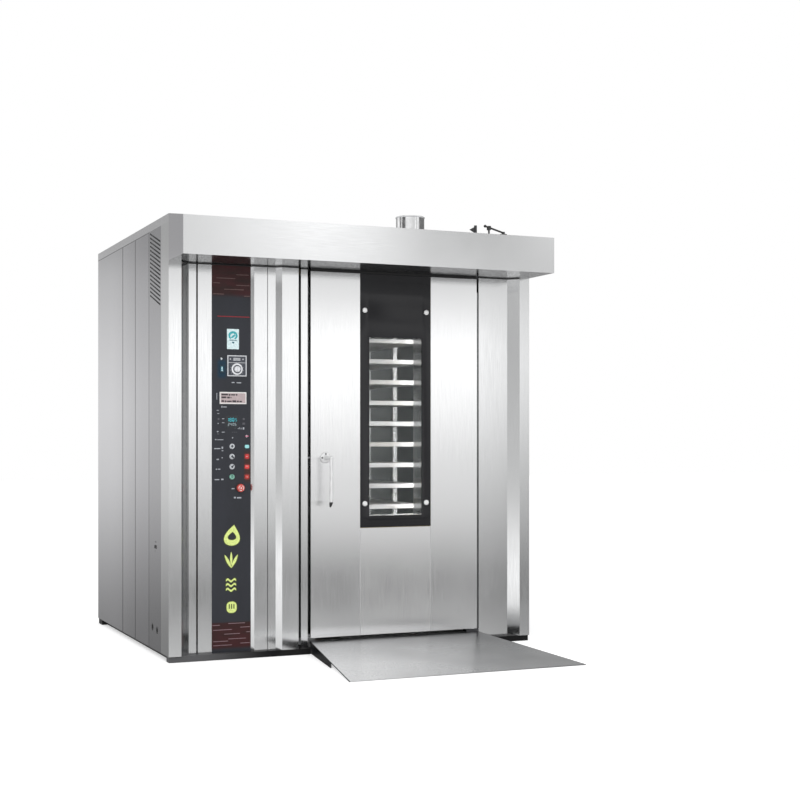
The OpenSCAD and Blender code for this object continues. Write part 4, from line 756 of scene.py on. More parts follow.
def turned_steel(name, tone, roughness, **sockets):
    """Turned or polished steel with faint handling marks."""
    steel = Finish(name, tone, metallic=1.0, roughness=roughness, **sockets)
    marks = steel.noise(30.0, 3.0)
    fine = steel.noise(700.0, 1.0)
    steel.set("Base Color", steel.tint(steel.fit(marks, 0.35, 0.7, 0.0, 1.0), tone, shade(tone, 0.88)))
    steel.set("Roughness", steel.fit(marks, 0.3, 0.7, roughness - 0.04, roughness + 0.10))
    steel.bump(fine, 0.00005, 0.4)
    return steel


bright_steel = turned_steel("turned_bright_steel", (0.62, 0.63, 0.64), 0.25)
bright_steel.on("rack_shaft", "hinge_pins", "latch_bolt")
turned_steel("blackened_hinge_steel", (0.10, 0.10, 0.105), 0.42).on("door_hardware")
flue_steel = turned_steel("chimney_steel", (0.80, 0.805, 0.81), 0.14)
flue_steel.on("flue")
CHIMNEY = (1526, 530)
CHIMNEY_RADIUS = 80
CHIMNEY_TOP = 2350
bead = turned("chimney_bead", (*CHIMNEY, 0), (0, 0, 1), [
    (CHIMNEY_RADIUS - 0.4, CHIMNEY_TOP - 9), (CHIMNEY_RADIUS + 2.6, CHIMNEY_TOP - 8),
        (CHIMNEY_RADIUS + 4, CHIMNEY_TOP - 5),
    (CHIMNEY_RADIUS + 2.8, CHIMNEY_TOP - 1.8), (CHIMNEY_RADIUS - 0.4, CHIMNEY_TOP - 0.6)], 64, hollow=True)
finished(bead, flue_steel, "cabinet")
fittings_paint = black_paint("fittings_black_paint", 0.03)
fittings_paint.on("roof_fittings", "relief_lever")

# ---------------------------------------------------------------- turning rack
# The trolley's side frames and plates are welded stainless angle and sheet. Fourteen pressed aluminium
# trays lie on its runners, each with rounded corners and a rolled rim.

TRAYS = 14
TRAY_LOW = 250
TRAY_PITCH = 115
TRAY_HIGH = 24
TRAY_WIDE = 640
TRAY_DEEP = 800
TRAY_CORNER = 16
RACK_MIDDLE = (1230, 852.15)

rack_steel = sheet_steel("rack_tube_steel", (0.72, 0.725, 0.73), 0.26, (1, 1, 0.02), marks=0.1)
rack_steel.on("rack_side_frames", "rack_plates")

tray_metal = Finish("pressed_aluminium", (0.86, 0.865, 0.87), metallic=0.3, roughness=0.42)
haze = tray_metal.noise(8.0, 4.0)
drawn = tray_metal.noise(500.0, 2.0, (0.03, 1, 1))
tray_metal.set("Base Color", tray_metal.tint(tray_metal.fit(haze, 0.4, 0.8, 0.0, 0.8), (0.88, 0.885, 0.89),
    (0.62, 0.58, 0.52)))
tray_metal.set("Roughness", tray_metal.fit(haze, 0.3, 0.7, 0.36, 0.52) + tray_metal.fit(drawn, 0.3, 0.7, 0.0, 0.05))
tray_metal.bump(drawn, 0.00006, 0.5)

mid_x, mid_y = RACK_MIDDLE
tray = block("tray", (mid_x - TRAY_WIDE / 2, mid_y - TRAY_DEEP / 2, TRAY_LOW),
    (mid_x + TRAY_WIDE / 2, mid_y + TRAY_DEEP / 2, TRAY_LOW + TRAY_HIGH))
pick(tray, lambda middle, facing: abs(facing.z) > 0.9, "edges")
bpy.ops.mesh.bevel(offset=TRAY_CORNER / 1000, segments=4)
pick(tray, lambda middle, facing: facing.z > 0.9)
bpy.ops.mesh.bevel(offset=0.004, segments=3)
pick(tray, lambda middle, facing: facing.z > 0.99)
bpy.ops.mesh.inset(thickness=0.010)
bpy.ops.mesh.inset(thickness=0.004)
bpy.ops.transform.translate(value=(0, 0, -0.003))
pick(tray, lambda middle, facing: facing.z < -0.9)
bpy.ops.mesh.delete(type="FACE")
pick(tray, lambda middle, facing: abs(middle.z - TRAY_LOW / 1000) < 0.0001, "edges")
pulled(0, 0, 0.0001)
bpy.ops.transform.resize(value=(1 - 6 / TRAY_WIDE, 1 - 6 / TRAY_DEEP, 1), center_override=place(mid_x, mid_y, TRAY_LOW))
pulled(0, 0, 0.005)
take(tray)
skin = tray.modifiers.new("sheet", "SOLIDIFY")
skin.thickness, skin.offset = 0.0015, -1.0
bpy.ops.object.modifier_apply(modifier=skin.name)
trays = [tray] + [moved(copied(tray, "tray"), z=TRAY_PITCH * row) for row in range(1, TRAYS)]
finished(joined("tray_stack", trays), tray_metal, "rack", ("rack_trays",))

# ---------------------------------------------------------------- trolley wheels
# Each pair is two brown phenolic wheels with a rounded tread and a recessed web, pressed on a steel hub,
# on one axle held by two nuts.

WHEEL_RADIUS = 50
WHEEL_WIDE = 30
WHEEL_SPREAD = 290
WHEEL_Z = 110.3
AXLE_RADIUS = 6

phenolic = moulded("brown_phenolic", (0.20, 0.075, 0.045), 0.5, 0.3)
for axle, node, wheel_y in (("front_axle", "front_wheels", mid_y - 350), ("rear_axle", "rear_wheels", mid_y + 350)):
    treads, hubs = [], []
    for side in (-1, 1):
        centre = (mid_x + side * WHEEL_SPREAD, wheel_y, WHEEL_Z)
        half = WHEEL_WIDE / 2
        treads.append(turned("tread", centre, (1, 0, 0), [
            (14, -half), (22, -half), (25, -half + 5), (38, -half + 5), (41, -half + 1), (46, -half + 1),
                (WHEEL_RADIUS, -half + 5),
            (WHEEL_RADIUS, half - 5), (46, half - 1), (41, half - 1), (38, half - 5), (25, half - 5), (22, half),
                (14, half)], 48, hollow=True))
        hubs.append(turned("hub", centre, (1, 0, 0), [
            (AXLE_RADIUS + 1, -half - 2), (11, -half - 2), (14.2, -half + 0.5), (14.2, half - 0.5), (11, half + 2),
                (AXLE_RADIUS + 1, half + 2)], 32))
        hubs.append(turned("nut", (centre[0] + side * (half + 2), wheel_y, WHEEL_Z), (side, 0, 0),
            [(10, 0), (10, 7), (8.5, 8)], 6))
    hubs.append(turned("axle", (mid_x, wheel_y, WHEEL_Z), (1, 0, 0), [
        (AXLE_RADIUS - 1, -WHEEL_SPREAD - 27), (AXLE_RADIUS, -WHEEL_SPREAD - 26), (AXLE_RADIUS, WHEEL_SPREAD + 26),
            (AXLE_RADIUS - 1, WHEEL_SPREAD + 27)], 24))
    finished(joined(axle + "_treads", treads), phenolic, axle, (node,))
    finished(joined(axle + "_hubs", hubs), bright_steel, axle, (node,))
# ---------------------------------------------------------------- door leaf
# A shallow box of bright stainless sheet, wool filled, hung on two pins. The sheet below the window is a
# separate, slightly brighter panel. A moulded seal with a rounded bulb runs round its back.

DOOR_CENTRE_PANEL = (1029, 1431)
PANEL_EDGE = 0.0006
DOOR_LIGHT_BELOW = (1.05, 0.65)
DOOR_SHADE_ABOVE = (1.5, 1.85)
SEAL = ((793, 160, 78), (1667, 172, 1920))
SEAL_WIDE = 24

door_steel = sheet_steel("door_sheet_steel", (0.86, 0.863, 0.868), 0.185)
door_steel.set("Anisotropic", 0.9)
door_x, _, door_up = door_steel.axes(door_steel.spot)
panel_low, panel_high = (place(x, 0, 0).x for x in DOOR_CENTRE_PANEL)
panel_mask = door_steel.slope(door_x, panel_low - PANEL_EDGE, panel_low + PANEL_EDGE) * \
    door_steel.slope(door_x, panel_high + PANEL_EDGE, panel_high - PANEL_EDGE)
# Painted light and shade: the door sheet is lighter low down and darker near its top.
door_steel.over(door_steel.slope(door_up, *DOOR_LIGHT_BELOW), (0.92, 0.923, 0.928))
door_steel.over(door_steel.slope(door_up, *DOOR_SHADE_ABOVE), (0.76, 0.763, 0.768))
door_steel.over(panel_mask, (0.985, 0.987, 0.99))
door_steel.on("door_skin")
door_back_steel = sheet_steel("door_back_steel", (0.72, 0.725, 0.73), 0.09, marks=0.02)
door_back_steel.on("door_inner")

# The seam strips are sealant, made pale also as a painted highlight along the panel edges.
sealant_highlight = moulded("pale_sealant_highlight", (0.58, 0.58, 0.59), 0.5, 0.08)
seams = [block("seam", (x - 1.8, 50.9, 78), (x + 1.8, 53.5, 634)) for x in DOOR_CENTRE_PANEL]
seams = joined("door_seams", seams)


def opening(piece, low, high):
    """Cuts a rectangular opening through an upright plate, given two corners as (x, z)."""
    low, high = place(low[0], 0, low[1]), place(high[0], 0, high[1])
    for spot, normal in ((low, (1, 0, 0)), (high, (1, 0, 0)), (low, (0, 0, 1)), (high, (0, 0, 1))):
        whole(piece)
        bpy.ops.mesh.bisect(plane_co=spot, plane_no=normal)
    pick(piece, lambda middle, facing: abs(facing.y) > 0.9 and low.x < middle.x < high.x and low.z < middle.z < high.z)
    bpy.ops.mesh.bridge_edge_loops()
    lone()
    return piece


silicone = moulded("silicone_seal", (0.035, 0.031, 0.028), 0.55, 0.15)
(seal_x0, _, seal_z0), (seal_x1, _, seal_z1) = SEAL
seal = block("door_seal", *SEAL)
opening(seal, (seal_x0 + SEAL_WIDE, seal_z0 + SEAL_WIDE), (seal_x1 - SEAL_WIDE, seal_z1 - SEAL_WIDE))
pick(seal, lambda middle, facing: facing.y > 0.9)
bpy.ops.mesh.inset(thickness=0.0045)
bpy.ops.mesh.inset(thickness=0.0025)
bpy.ops.transform.translate(value=(0, -0.0035, 0))
lone()
finished(seal, silicone, "door", ("door_gasket",), ease=1.6, steps=3)
finished(seams, sealant_highlight, "door", ease=0.4, steps=1)

# ---------------------------------------------------------------- door window
# One sheet of toughened glass with a black printed border, held by four domed bolts. Its clear window
# looks through a second, inner pane at the trays.

GLASS = ((1029, 50, 636), (1431, 56, 1958))
WINDOW = ((1080, 696), (1380, 1629))
BOLTS = ((1054, 760), (1406, 760), (1054, 1768), (1406, 1768))
BOLT_RADIUS = 13.5
GLASS_TOP_REFLECTION = (1.79, 1.85)

black_glass = Finish("black_printed_glass", (0.017, 0.017, 0.019), roughness=0.10, Specular_IOR_Level=0.24)
smears = black_glass.noise(5.0, 4.0)
glass_tone = black_glass.tint(black_glass.fit(smears, 0.4, 0.8, 0.0, 1.0), (0.016, 0.016, 0.018), (0.021, 0.021, 0.023))
black_glass.set("Base Color", glass_tone)
glass_up = black_glass.axes(black_glass.spot)[2]
# Painted reflection: the black glass is paler near its top.
black_glass.over(black_glass.slope(glass_up, *GLASS_TOP_REFLECTION), (0.033, 0.033, 0.035))
black_glass.set("Roughness", black_glass.fit(smears, 0.35, 0.75, 0.07, 0.2))
border = opening(block("glass_border", *GLASS), *WINDOW)
finished(border, black_glass, "door", ("outer_glass",), ease=0.8)


def clear_pane(name, color, alpha, roughness=0.03):
    """Clear glass: a weak tint, a bright reflection and light wiping marks."""
    glass = Finish(name, color, roughness=roughness, IOR=1.7, Alpha=alpha)
    wiped = glass.noise(6.0, 3.0, (1, 1, 0.4))
    glass.set("Base Color", glass.tint(wiped, color, tuple(min(1.0, c * 1.3) for c in color)))
    glass.set("Roughness", glass.fit(wiped, 0.4, 0.7, roughness, roughness + 0.06))
    return glass


tinted_glass = clear_pane("window_glass", (0.030, 0.036, 0.036), 0.16)
inner_clear = clear_pane("inner_glass", (0.08, 0.10, 0.10), 0.08)
(win_x0, win_z0), (win_x1, win_z1) = WINDOW
pane = block("window_pane", (win_x0 + 0.1, 50.1, win_z0 + 0.1), (win_x1 - 0.1, 55.9, win_z1 - 0.1))
finished(pane, tinted_glass, "door", ("outer_glass",), ease=0.05, steps=1)
inner_clear.on("inner_glass")

bolt_steel = turned_steel("bolt_steel", (0.97, 0.97, 0.97), 0.36)
bolt_steel.set("Metallic", 0.5)
bolts = [turned("glass_bolt", (bolt_x, 50, bolt_z), (0, -1, 0), [
    (4, -39), (4, 0.05), (BOLT_RADIUS, 0.05), (BOLT_RADIUS, 3.6), (BOLT_RADIUS - 1, 5.2), (BOLT_RADIUS - 3.5, 6.4),
    (BOLT_RADIUS - 7, 6.9), (4.5, 7.0), (4.2, 6.2), (0.5, 6.2)], 40) for bolt_x, bolt_z in BOLTS]
finished(joined("glass_bolt_set", bolts), bolt_steel, "door", ("glass_bolts",))

# ---------------------------------------------------------------- door handle
# A cast and polished lever: round rose with two small screws, a short neck, and a hanging grip that
# swells towards its slanted end. Its spindle turns the latch bolt in the door.

HANDLE = (834, 1000)
ROSE_RADIUS = 28
ROSE_BACK = 49.7
GRIP_Y = -38
GRIP_END = 755


def drawn(name, path, caps=True, sides=4):
    """A round bar drawn along points, given as (x, y, z, radius) in millimetres."""
    line = bpy.data.curves.new(name, "CURVE")
    line.dimensions = "3D"
    line.bevel_depth, line.bevel_resolution, line.use_fill_caps = 0.001, sides, caps
    spline = laid(line, "NURBS", [place(x, y, z) for x, y, z, _ in path])
    for point, (_, _, _, radius) in zip(spline.points, path):
        point.radius = radius
    spline.use_endpoint_u = True
    spline.order_u, spline.resolution_u = 4, 6
    piece = curve_piece(name, line)
    whole(piece)
    tidied()
    lone()
    return piece


handle_x, handle_z = HANDLE
handle_steel = turned_steel("handle_steel", (0.95, 0.95, 0.955), 0.30)
handle_steel.set("Metallic", 0.6)
rose = turned("handle_rose", (handle_x, ROSE_BACK, handle_z), (0, -1, 0), [
    (8, -45), (8, 0), (ROSE_RADIUS - 1, 0), (ROSE_RADIUS, 1.2), (ROSE_RADIUS, 4), (ROSE_RADIUS - 2.5, 7.5),
        (ROSE_RADIUS - 8, 9.4), (13, 10),
    (11, 12), (9.4, 18), (9, 30), (9, 78), (9.8, 84), (10.4, 88), (10, 92), (8, 96), (4, 98)], 48)
grip = drawn("handle_grip", [
    (handle_x, GRIP_Y, handle_z + 6, 9.6), (handle_x, GRIP_Y, handle_z - 20, 8.4),
        (handle_x + 0.6, GRIP_Y - 0.4, handle_z - 60, 7.8),
    (handle_x + 1.0, GRIP_Y - 0.6, handle_z - 110, 8.2), (handle_x + 0.6, GRIP_Y - 0.4, handle_z - 160, 9.0),
    (handle_x, GRIP_Y, handle_z - 200, 9.5), (handle_x, GRIP_Y, GRIP_END + 20, 9.3)], sides=6)
finished(joined("lever_handle", [rose, grip]), handle_steel, "handle", ("door_handle",))

handle_black = moulded("handle_tip_black", (0.02, 0.02, 0.021), 0.35, 0.2)
tip = drawn("handle_tip", [
    (handle_x, GRIP_Y, GRIP_END + 21, 9.0), (handle_x - 1, GRIP_Y, GRIP_END + 14, 9.2),
        (handle_x - 3, GRIP_Y + 1, GRIP_END + 4, 7.6),
    (handle_x - 5, GRIP_Y + 2, GRIP_END - 6, 3.6)], sides=6)
screws = [turned("rose_screw", (handle_x + dx, ROSE_BACK - 9.4, handle_z + dz), (0, -1, 0), [
    (4.4, -2), (4.4, 0.6), (3.4, 1.8), (1.2, 1.9), (1.0, 1.0), (0.4, 1.0)], 20) for dx, dz in ((-19.5, 0), (0, 19.5))]
finished(joined("handle_dark_parts", [tip] + screws), handle_black, "handle", ("door_handle",))
# ---------------------------------------------------------------- control strip
# A dark printed film on a flat strip from floor to hood. Its ends are maroon with fine pale dashes, and
# plain marks in yellow-green show heat, grain, steam and baking.

STRIP_FACE = 50
MAROON_TOP = (1800, 1830)
MAROON_LOW = (40, 60, 172, 186)
TOP_DASHES = ((357, 424, 1921), (254, 354, 1901), (238, 274, 1876), (357, 429, 1868), (295, 398, 1846),
    (238, 295, 1821), (398, 430, 1815))
LOW_DASHES = ((316, 404, 173), (234, 274, 167), (378, 431, 152), (238, 336, 143), (409, 431, 127), (295, 378, 121),
              (316, 409, 96), (238, 316, 86), (378, 431, 72), (238, 336, 66))
RED_LINE = (259, 429, 1710)
GLOWS = (((284, 1447), 0.034, 0.060, 0.9, (0.004, 0.030, 0.058)),
    ((420, 957), 0.028, 0.090, 0.7, (0.060, 0.020, 0.012)))

film = Finish("dark_printed_film", (0.026, 0.027, 0.032), roughness=0.36, Specular_IOR_Level=0.3)
film_z = film.axes(film.spot)[2]
film_x = film.axes(film.spot)[0]
cloud = film.noise(9.0, 3.0, (1, 1, 0.4))
weave = film.noise(1300.0, 2.0)
film_tone = film.tint(film.fit(cloud, 0.3, 0.7, 0.0, 1.0), (0.024, 0.026, 0.032), (0.031, 0.033, 0.042))
maroon = film.tint(film.fit(film.noise(7.0, 3.0, (1, 1, 3)), 0.35, 0.65, 0.0, 1.0), (0.028, 0.010, 0.009),
    (0.052, 0.010, 0.012))
low0, low1, low2, low3 = (z / 1000 for z in MAROON_LOW)
at_top = film.slope(film_z, MAROON_TOP[0] / 1000, MAROON_TOP[1] / 1000)
at_low = film.slope(film_z, low0, low1) * film.slope(film_z, low3, low2)
film_tone = film.tint(at_top + at_low, film_tone, maroon)
# Painted light: soft pools of teal light round the rocker switch and red light round the red lamps.
for (glow_x, glow_z), wide, high, strength, glow_color in GLOWS:
    spot = place(glow_x, 0, glow_z)
    glow = film.slope(film.maths("ABSOLUTE", film_x - spot.x), wide, 0.010) * \
        film.slope(film.maths("ABSOLUTE", film_z - spot.z), high, high - 0.030)
    film_tone = film.tint(glow * strength, film_tone, glow_color)
film.set("Base Color", film_tone)
film.set("Roughness", film.fit(cloud, 0.3, 0.7, 0.30, 0.42))
film.bump(weave, 0.00004, 0.5)
film.on("control_fascia")


def outlined(name, outlines, front, back):
    """A flat shape cut from sheet, drawn from closed outlines of (x, z); an outline inside another is a hole."""
    drawing = bpy.data.curves.new(name, "CURVE")
    drawing.dimensions, drawing.fill_mode = "2D", "BOTH"
    drawing.extrude = (back - front) / 2000
    for outline in outlines:
        laid(drawing, "POLY", [(x / 1000, z / 1000, 0) for x, z in outline]).use_cyclic_u = True
    piece = curve_piece(name, drawing)
    piece.rotation_euler = (math.pi / 2, 0, 0)
    piece.location = place(0, (front + back) / 2, 0)
    bpy.ops.object.transform_apply(location=True, rotation=True, scale=True)
    whole(piece)
    tidied(0.00001)
    lone()
    return piece


def bar(x0, x1, z, high=3.0):
    """A flat bar's outline, tapered at its ends."""
    half = high / 2
    return [(x0, z), (x0 + half, z - half), (x1 - half, z - half), (x1, z), (x1 - half, z + half),
        (x0 + half, z + half)]


def oval(x, z, wide, high, sides=28, start=0.0, sweep=360.0):
    """Points round an ellipse, or along a part of it, by half its width and height."""
    count = sides if sweep == 360.0 else sides + 1
    return [(x + wide * math.sin(math.radians(start + sweep * i / sides)),
        z + high * math.cos(math.radians(start + sweep * i / sides)))
            for i in range(count)]


def arc(x, z, radius, thick, start, sweep, sides=28):
    """A curved band's outline, clockwise from the top."""
    return oval(x, z, radius, radius, sides, start, sweep) + oval(x, z, radius - thick, radius - thick, sides, start,
        sweep)[::-1]


def ink(name, color, glow=0.0, roughness=0.45):
    """Printing ink, laid slightly unevenly; a glow makes a mark shine, real light on lit parts and painted light on
    plain print.
    """
    print_ink = Finish(name, color, roughness=roughness, Emission_Strength=glow)
    patchy = print_ink.noise(120.0, 3.0)
    print_ink.varied(patchy, color, shade(color, 0.72), (roughness - 0.06, roughness + 0.08))
    print_ink.bump(patchy, 0.00005, 0.4)
    if glow:
        print_ink.set("Emission Color", print_ink.tint(patchy, color, shade(color, 0.8)))
    return print_ink


def printed(name, outlines, finish, proud=0.3):
    """A mark printed on the strip."""
    return finished(outlined(name, outlines, STRIP_FACE - proud, STRIP_FACE + 0.05), finish, "cabinet")


rose_ink = ink("faded_rose_ink", (0.15, 0.085, 0.080))
printed("top_dashes", [bar(x0, x1, z, 4.0) for x0, x1, z in TOP_DASHES], rose_ink)
printed("low_dashes", [bar(x0, x1, z, 3.2) for x0, x1, z in LOW_DASHES], ink("pale_rose_ink", (0.27, 0.17, 0.19)))
printed("red_line", [bar(*RED_LINE[:2], RED_LINE[2], 4.5)], ink("crimson_ink", (0.30, 0.012, 0.022)))

HEAT_MARK = (335, 563, 666, 40)
GRAIN_MARK = (332, 451, 526, 27)
STEAM_MARK = (331, 333, 398, 26)
BAKING_MARK = (334, 218, 288, 26)


def drop(x, low, high, half, lean=0.0):
    """A drop's outline with its point up."""
    tall, points = high - low, []
    for i in range(36):
        turned_by = math.radians(i * 10)
        up = (1 - math.cos(turned_by)) / 2
        wide = math.sin(turned_by) * (1 - up) ** 0.55
        points.append((x - half * wide * 1.36 + lean * up ** 3, low + tall * up))
    return points


def leaf(x, z, long, half, lean):
    """A leaf that grows up and outward from a point."""
    points = []
    for side in (1, -1):
        for i in range(10):
            along = i / 10 if side == 1 else 1 - i / 10
            across = side * half * math.sin(math.pi * along) ** 0.8
            points.append((along * long, across))
    turned_by = math.radians(lean)
    return [(x + a * math.sin(turned_by) + c * math.cos(turned_by),
        z + a * math.cos(turned_by) - c * math.sin(turned_by)) for a, c in points]


def wave(x, z, half, high, thick):
    """A band that rises and falls twice."""
    line = [(x - half + half * 2 * i / 24, z + high * math.sin(i / 24 * math.tau * 1.5)) for i in range(25)]
    return [(a, c + thick / 2) for a, c in line] + [(a, c - thick / 2) for a, c in line[::-1]]


def rounded(x0, z0, x1, z1, radius, sides=5):
    """A rectangle's outline with round corners."""
    points = []
    for cx, cz, start in ((x1 - radius, z1 - radius, 0), (x1 - radius, z0 + radius, 90),
        (x0 + radius, z0 + radius, 180), (x0 + radius, z1 - radius, 270)):
        points += oval(cx, cz, radius, radius, sides, start, 90.0)
    return points


def baking_marks(grow):
    """The four marks, each drawn larger by a rim."""
    x, low, high, half = HEAT_MARK
    marks = [drop(x, low - grow, high + grow, half + grow, 12),
        drop(x + 1, low + 27 + grow, high - 34 - grow, half - 18 - grow, 4)]
    x, low, high, half = GRAIN_MARK
    marks += [leaf(x, low - grow, high - low + 2 * grow, 7 + grow, lean) for lean in (-27, 27)]
    marks += [leaf(x, low + 12 - grow, high - low - 6 + 2 * grow, 6 + grow, 0)] if not grow else []
    x, low, high, half = STEAM_MARK
    marks += [wave(x, low + 9 + 23.5 * i, half + grow, 5.5, 9.5 + grow * 2) for i in range(3)]
    x, low, high, half = BAKING_MARK
    round_mark = rounded(x - half - grow, low + 8 - grow, x + half + grow, high - 6 + grow, 21 + grow)
    cuts = [rounded(x + dx - 3 + grow / 2, low + 28 + grow, x + dx + 3 - grow / 2, high - 18 - grow,
        2.4) for dx in (-12, 0, 12)]
    return marks + [round_mark] + (cuts if not grow else [])


printed("mark_rims", baking_marks(3.2), ink("olive_ink", (0.085, 0.11, 0.020)), proud=0.15)
# Painted light: the yellow-green marks are plain print, given a faint glow.
printed("marks", baking_marks(0), ink("yellow_green_ink", (0.74, 0.86, 0.27), 0.12), proud=0.4)

# ---------------------------------------------------------------- timer and blank card
# The mechanical timer is a white frame round a dark dial with a white twist knob. Above it a plain pale
# card with a simple mark fills the place of a label. A lit rocker switch and a dot lamp stand to its left.

CARD = (310, 1547, 372, 1648)
TIMER = ((311, 45, 1411), (411, 50, 1516))
KNOB = (361, 1447)
KNOB_RADIUS = 29
ROCKER = (284, 1447)

# Painted light: the plain card and its cyan ring are print, given a faint glow.
card_white = ink("pale_card", (0.70, 0.86, 0.88), 0.10)
cyan_ink = ink("cyan_ink", (0.05, 0.42, 0.47), 0.05)
dark_cyan = ink("deep_cyan_ink", (0.02, 0.14, 0.19))
printed("blank_card", [rounded(*CARD[:2], *CARD[2:], 2.0)], card_white, proud=0.5)
printed("card_ring", [oval(341, 1615, 24, 22), oval(341, 1613, 14, 13), leaf(328, 1598, 38, 5, 48)], cyan_ink,
    proud=0.8)
printed("card_mark", [[(334, 1584), (350, 1584), (342, 1573)], bar(322, 362, 1592, 4)], dark_cyan, proud=0.8)


def framed(name, low, high, rim, sink):
    """A block whose front is sunk inside a rim."""
    piece = block(name, low, high)
    pick(piece, lambda middle, facing: facing.y < -0.9)
    bpy.ops.mesh.inset(thickness=rim / 1000)
    pulled(0, sink / 1000, 0)
    lone()
    return piece


white_plastic = moulded("white_moulding", (0.58, 0.59, 0.62), 0.3, 0.06)
slate_plastic = moulded("slate_moulding", (0.055, 0.060, 0.075), 0.35, 0.15)
(timer_x0, timer_y0, timer_z0), (timer_x1, timer_y1, timer_z1) = TIMER
timer = framed("timer_frame", (timer_x0, timer_y0, timer_z0), (timer_x1, timer_y1 + 0.05, timer_z1), 5, 3)
rail = block("timer_rail", (timer_x0 + 5, timer_y0 + 1.5, 1478), (timer_x1 - 5, timer_y0 + 3.2, 1480.5))
dial_ticks = []
for tick in range(13):
    swing = math.radians(-150 + 25 * tick)
    tick_x, tick_z = KNOB[0] + 33 * math.sin(swing), KNOB[1] + 33 * math.cos(swing)
    if tick_z < 1476:
        dial_ticks.append(oval(tick_x, tick_z, 1.5, 1.5, 10))
timer_white = [timer, rail, outlined("dial_ticks", dial_ticks, timer_y0 + 2.4, timer_y0 + 3.1)]
timer_white += [turned("timer_screw", (x, timer_y0 + 3, 1497), (0, -1, 0),
    [(3.6, -0.1), (3.6, 1.0), (2.6, 1.8), (0.5, 1.8)], 18) for x in (327, 393)]
timer_white.append(outlined("timer_vents", [rounded(342, 1490 + 5 * i, 379, 1493 + 5 * i, 1.0, 3) for i in range(3)],
    timer_y0 + 2.2, timer_y0 + 3.1))
finished(joined("timer_frame", timer_white), white_plastic, "cabinet", ("panel_indicators",),
    ease=0.25, steps=1)
dial = outlined("timer_dial", [rounded(timer_x0 + 5, timer_z0 + 5, timer_x1 - 5, timer_z1 - 5, 2)], timer_y0 + 2.7,
    timer_y0 + 3.2)
finished(dial, slate_plastic, "cabinet", ("panel_indicators",))

knob_plastic = moulded("knob_moulding", (0.76, 0.77, 0.80), 0.28, 0.06)
knob_at = place(KNOB[0], 0, KNOB[1])
knob_x, _, knob_z = knob_plastic.axes(knob_plastic.spot)
knob_across = knob_plastic.node("ShaderNodeCombineXYZ", {0: knob_x - knob_at.x, 1: knob_z - knob_at.z})
knob_out = knob_plastic.node("ShaderNodeVectorMath", {0: knob_across}, operation="LENGTH", out=1)
# Painted shade: the knob's groove is also painted dark.
groove_shade = knob_plastic.slope(knob_out, 0.0150, 0.0158) * knob_plastic.slope(knob_out, 0.0214, 0.0206)
knob_plastic.over(groove_shade, (0.05, 0.055, 0.07))
knob_y = 46.7
knob = turned("timer_knob_body", (KNOB[0], knob_y, KNOB[1]), (0, -1, 0), [
    (6, -23), (6, 0), (KNOB_RADIUS, 0), (KNOB_RADIUS, 3.0), (KNOB_RADIUS - 1.5, 4.5), (21.5, 4.8), (20.8, 3.4),
        (16.0, 3.4), (15.2, 5.0),
    (14.6, 14.4), (13.2, 16.0), (0.5, 16.4)], 56)
grip_bar = block("knob_grip", (KNOB[0] - 4, 22.9, KNOB[1] - 13.4), (KNOB[0] + 4, knob_y - 15, KNOB[1] + 13.4))
pick(grip_bar, lambda middle, facing: facing.y < -0.9)
bpy.ops.transform.resize(value=(0.62, 1, 0.9), center_override=place(KNOB[0], 22.9, KNOB[1]))
lone()
finished(joined("timer_knob_piece", [knob, grip_bar]), knob_plastic, "knob", ("timer_knob",), ease=0.5)

rocker_cyan = ink("lit_rocker", (0.012, 0.13, 0.19), 0.15, 0.3)
rocker_x, rocker_z = ROCKER
rocker = block("rocker_cap", (rocker_x - 7, 49, rocker_z - 12), (rocker_x + 7, 59, rocker_z + 12))
pick(rocker, lambda middle, facing: facing.y < -0.9)
bpy.ops.mesh.subdivide(number_cuts=3)
pick(rocker, lambda middle, facing: middle.y < place(0, 49.01, 0).y and abs(middle.z - rocker_z / 1000) > 0.009,
    "verts")
bpy.ops.transform.translate(value=(0, -0.0019, 0))
lone()
finished(rocker, rocker_cyan, "rocker", ("rocker_switch",), ease=0.6)
on_mark = outlined("rocker_mark", [rounded(rocker_x - 2.4, rocker_z - 5, rocker_x + 2.0, rocker_z + 11, 1.0),
                                   rounded(rocker_x - 4.6, rocker_z - 11, rocker_x + 4.6, rocker_z - 7.6, 1.2)],
                                       46.9, 49.3)
finished(on_mark, ink("rocker_mark_white", (0.62, 0.80, 0.86), 0.25), "rocker")
bezel_navy = moulded("navy_bezel", (0.008, 0.030, 0.050), 0.35, 0.15)
bezel = opening(block("rocker_bezel", (rocker_x - 12, 48, rocker_z - 20), (rocker_x + 12, 50.05, rocker_z + 20)),
                (rocker_x - 8, rocker_z - 14), (rocker_x + 8, rocker_z + 14))
finished(bezel, bezel_navy, "cabinet", ease=0.6)

# ---------------------------------------------------------------- displays
# A text display with a white frame and a rosy screen shows rows of plain bars. The small two-row
# number display under it glows cyan above and pale below.

SCREEN = ((272, 50, 1272), (411, 54, 1332))
SEGMENTS = {"1": "bc", "2": "abged", "5": "afgcd", "0": "abcdef", "8": "abcdefg", "4": "fgbc"}



def on_panel(piece, finish, ease=0.0, steps=2):
    """Finishes a piece that stands for a part of the panel's displays and lamps."""
    return finished(piece, finish, "cabinet", ("panel_indicators",), ease=ease, steps=steps)


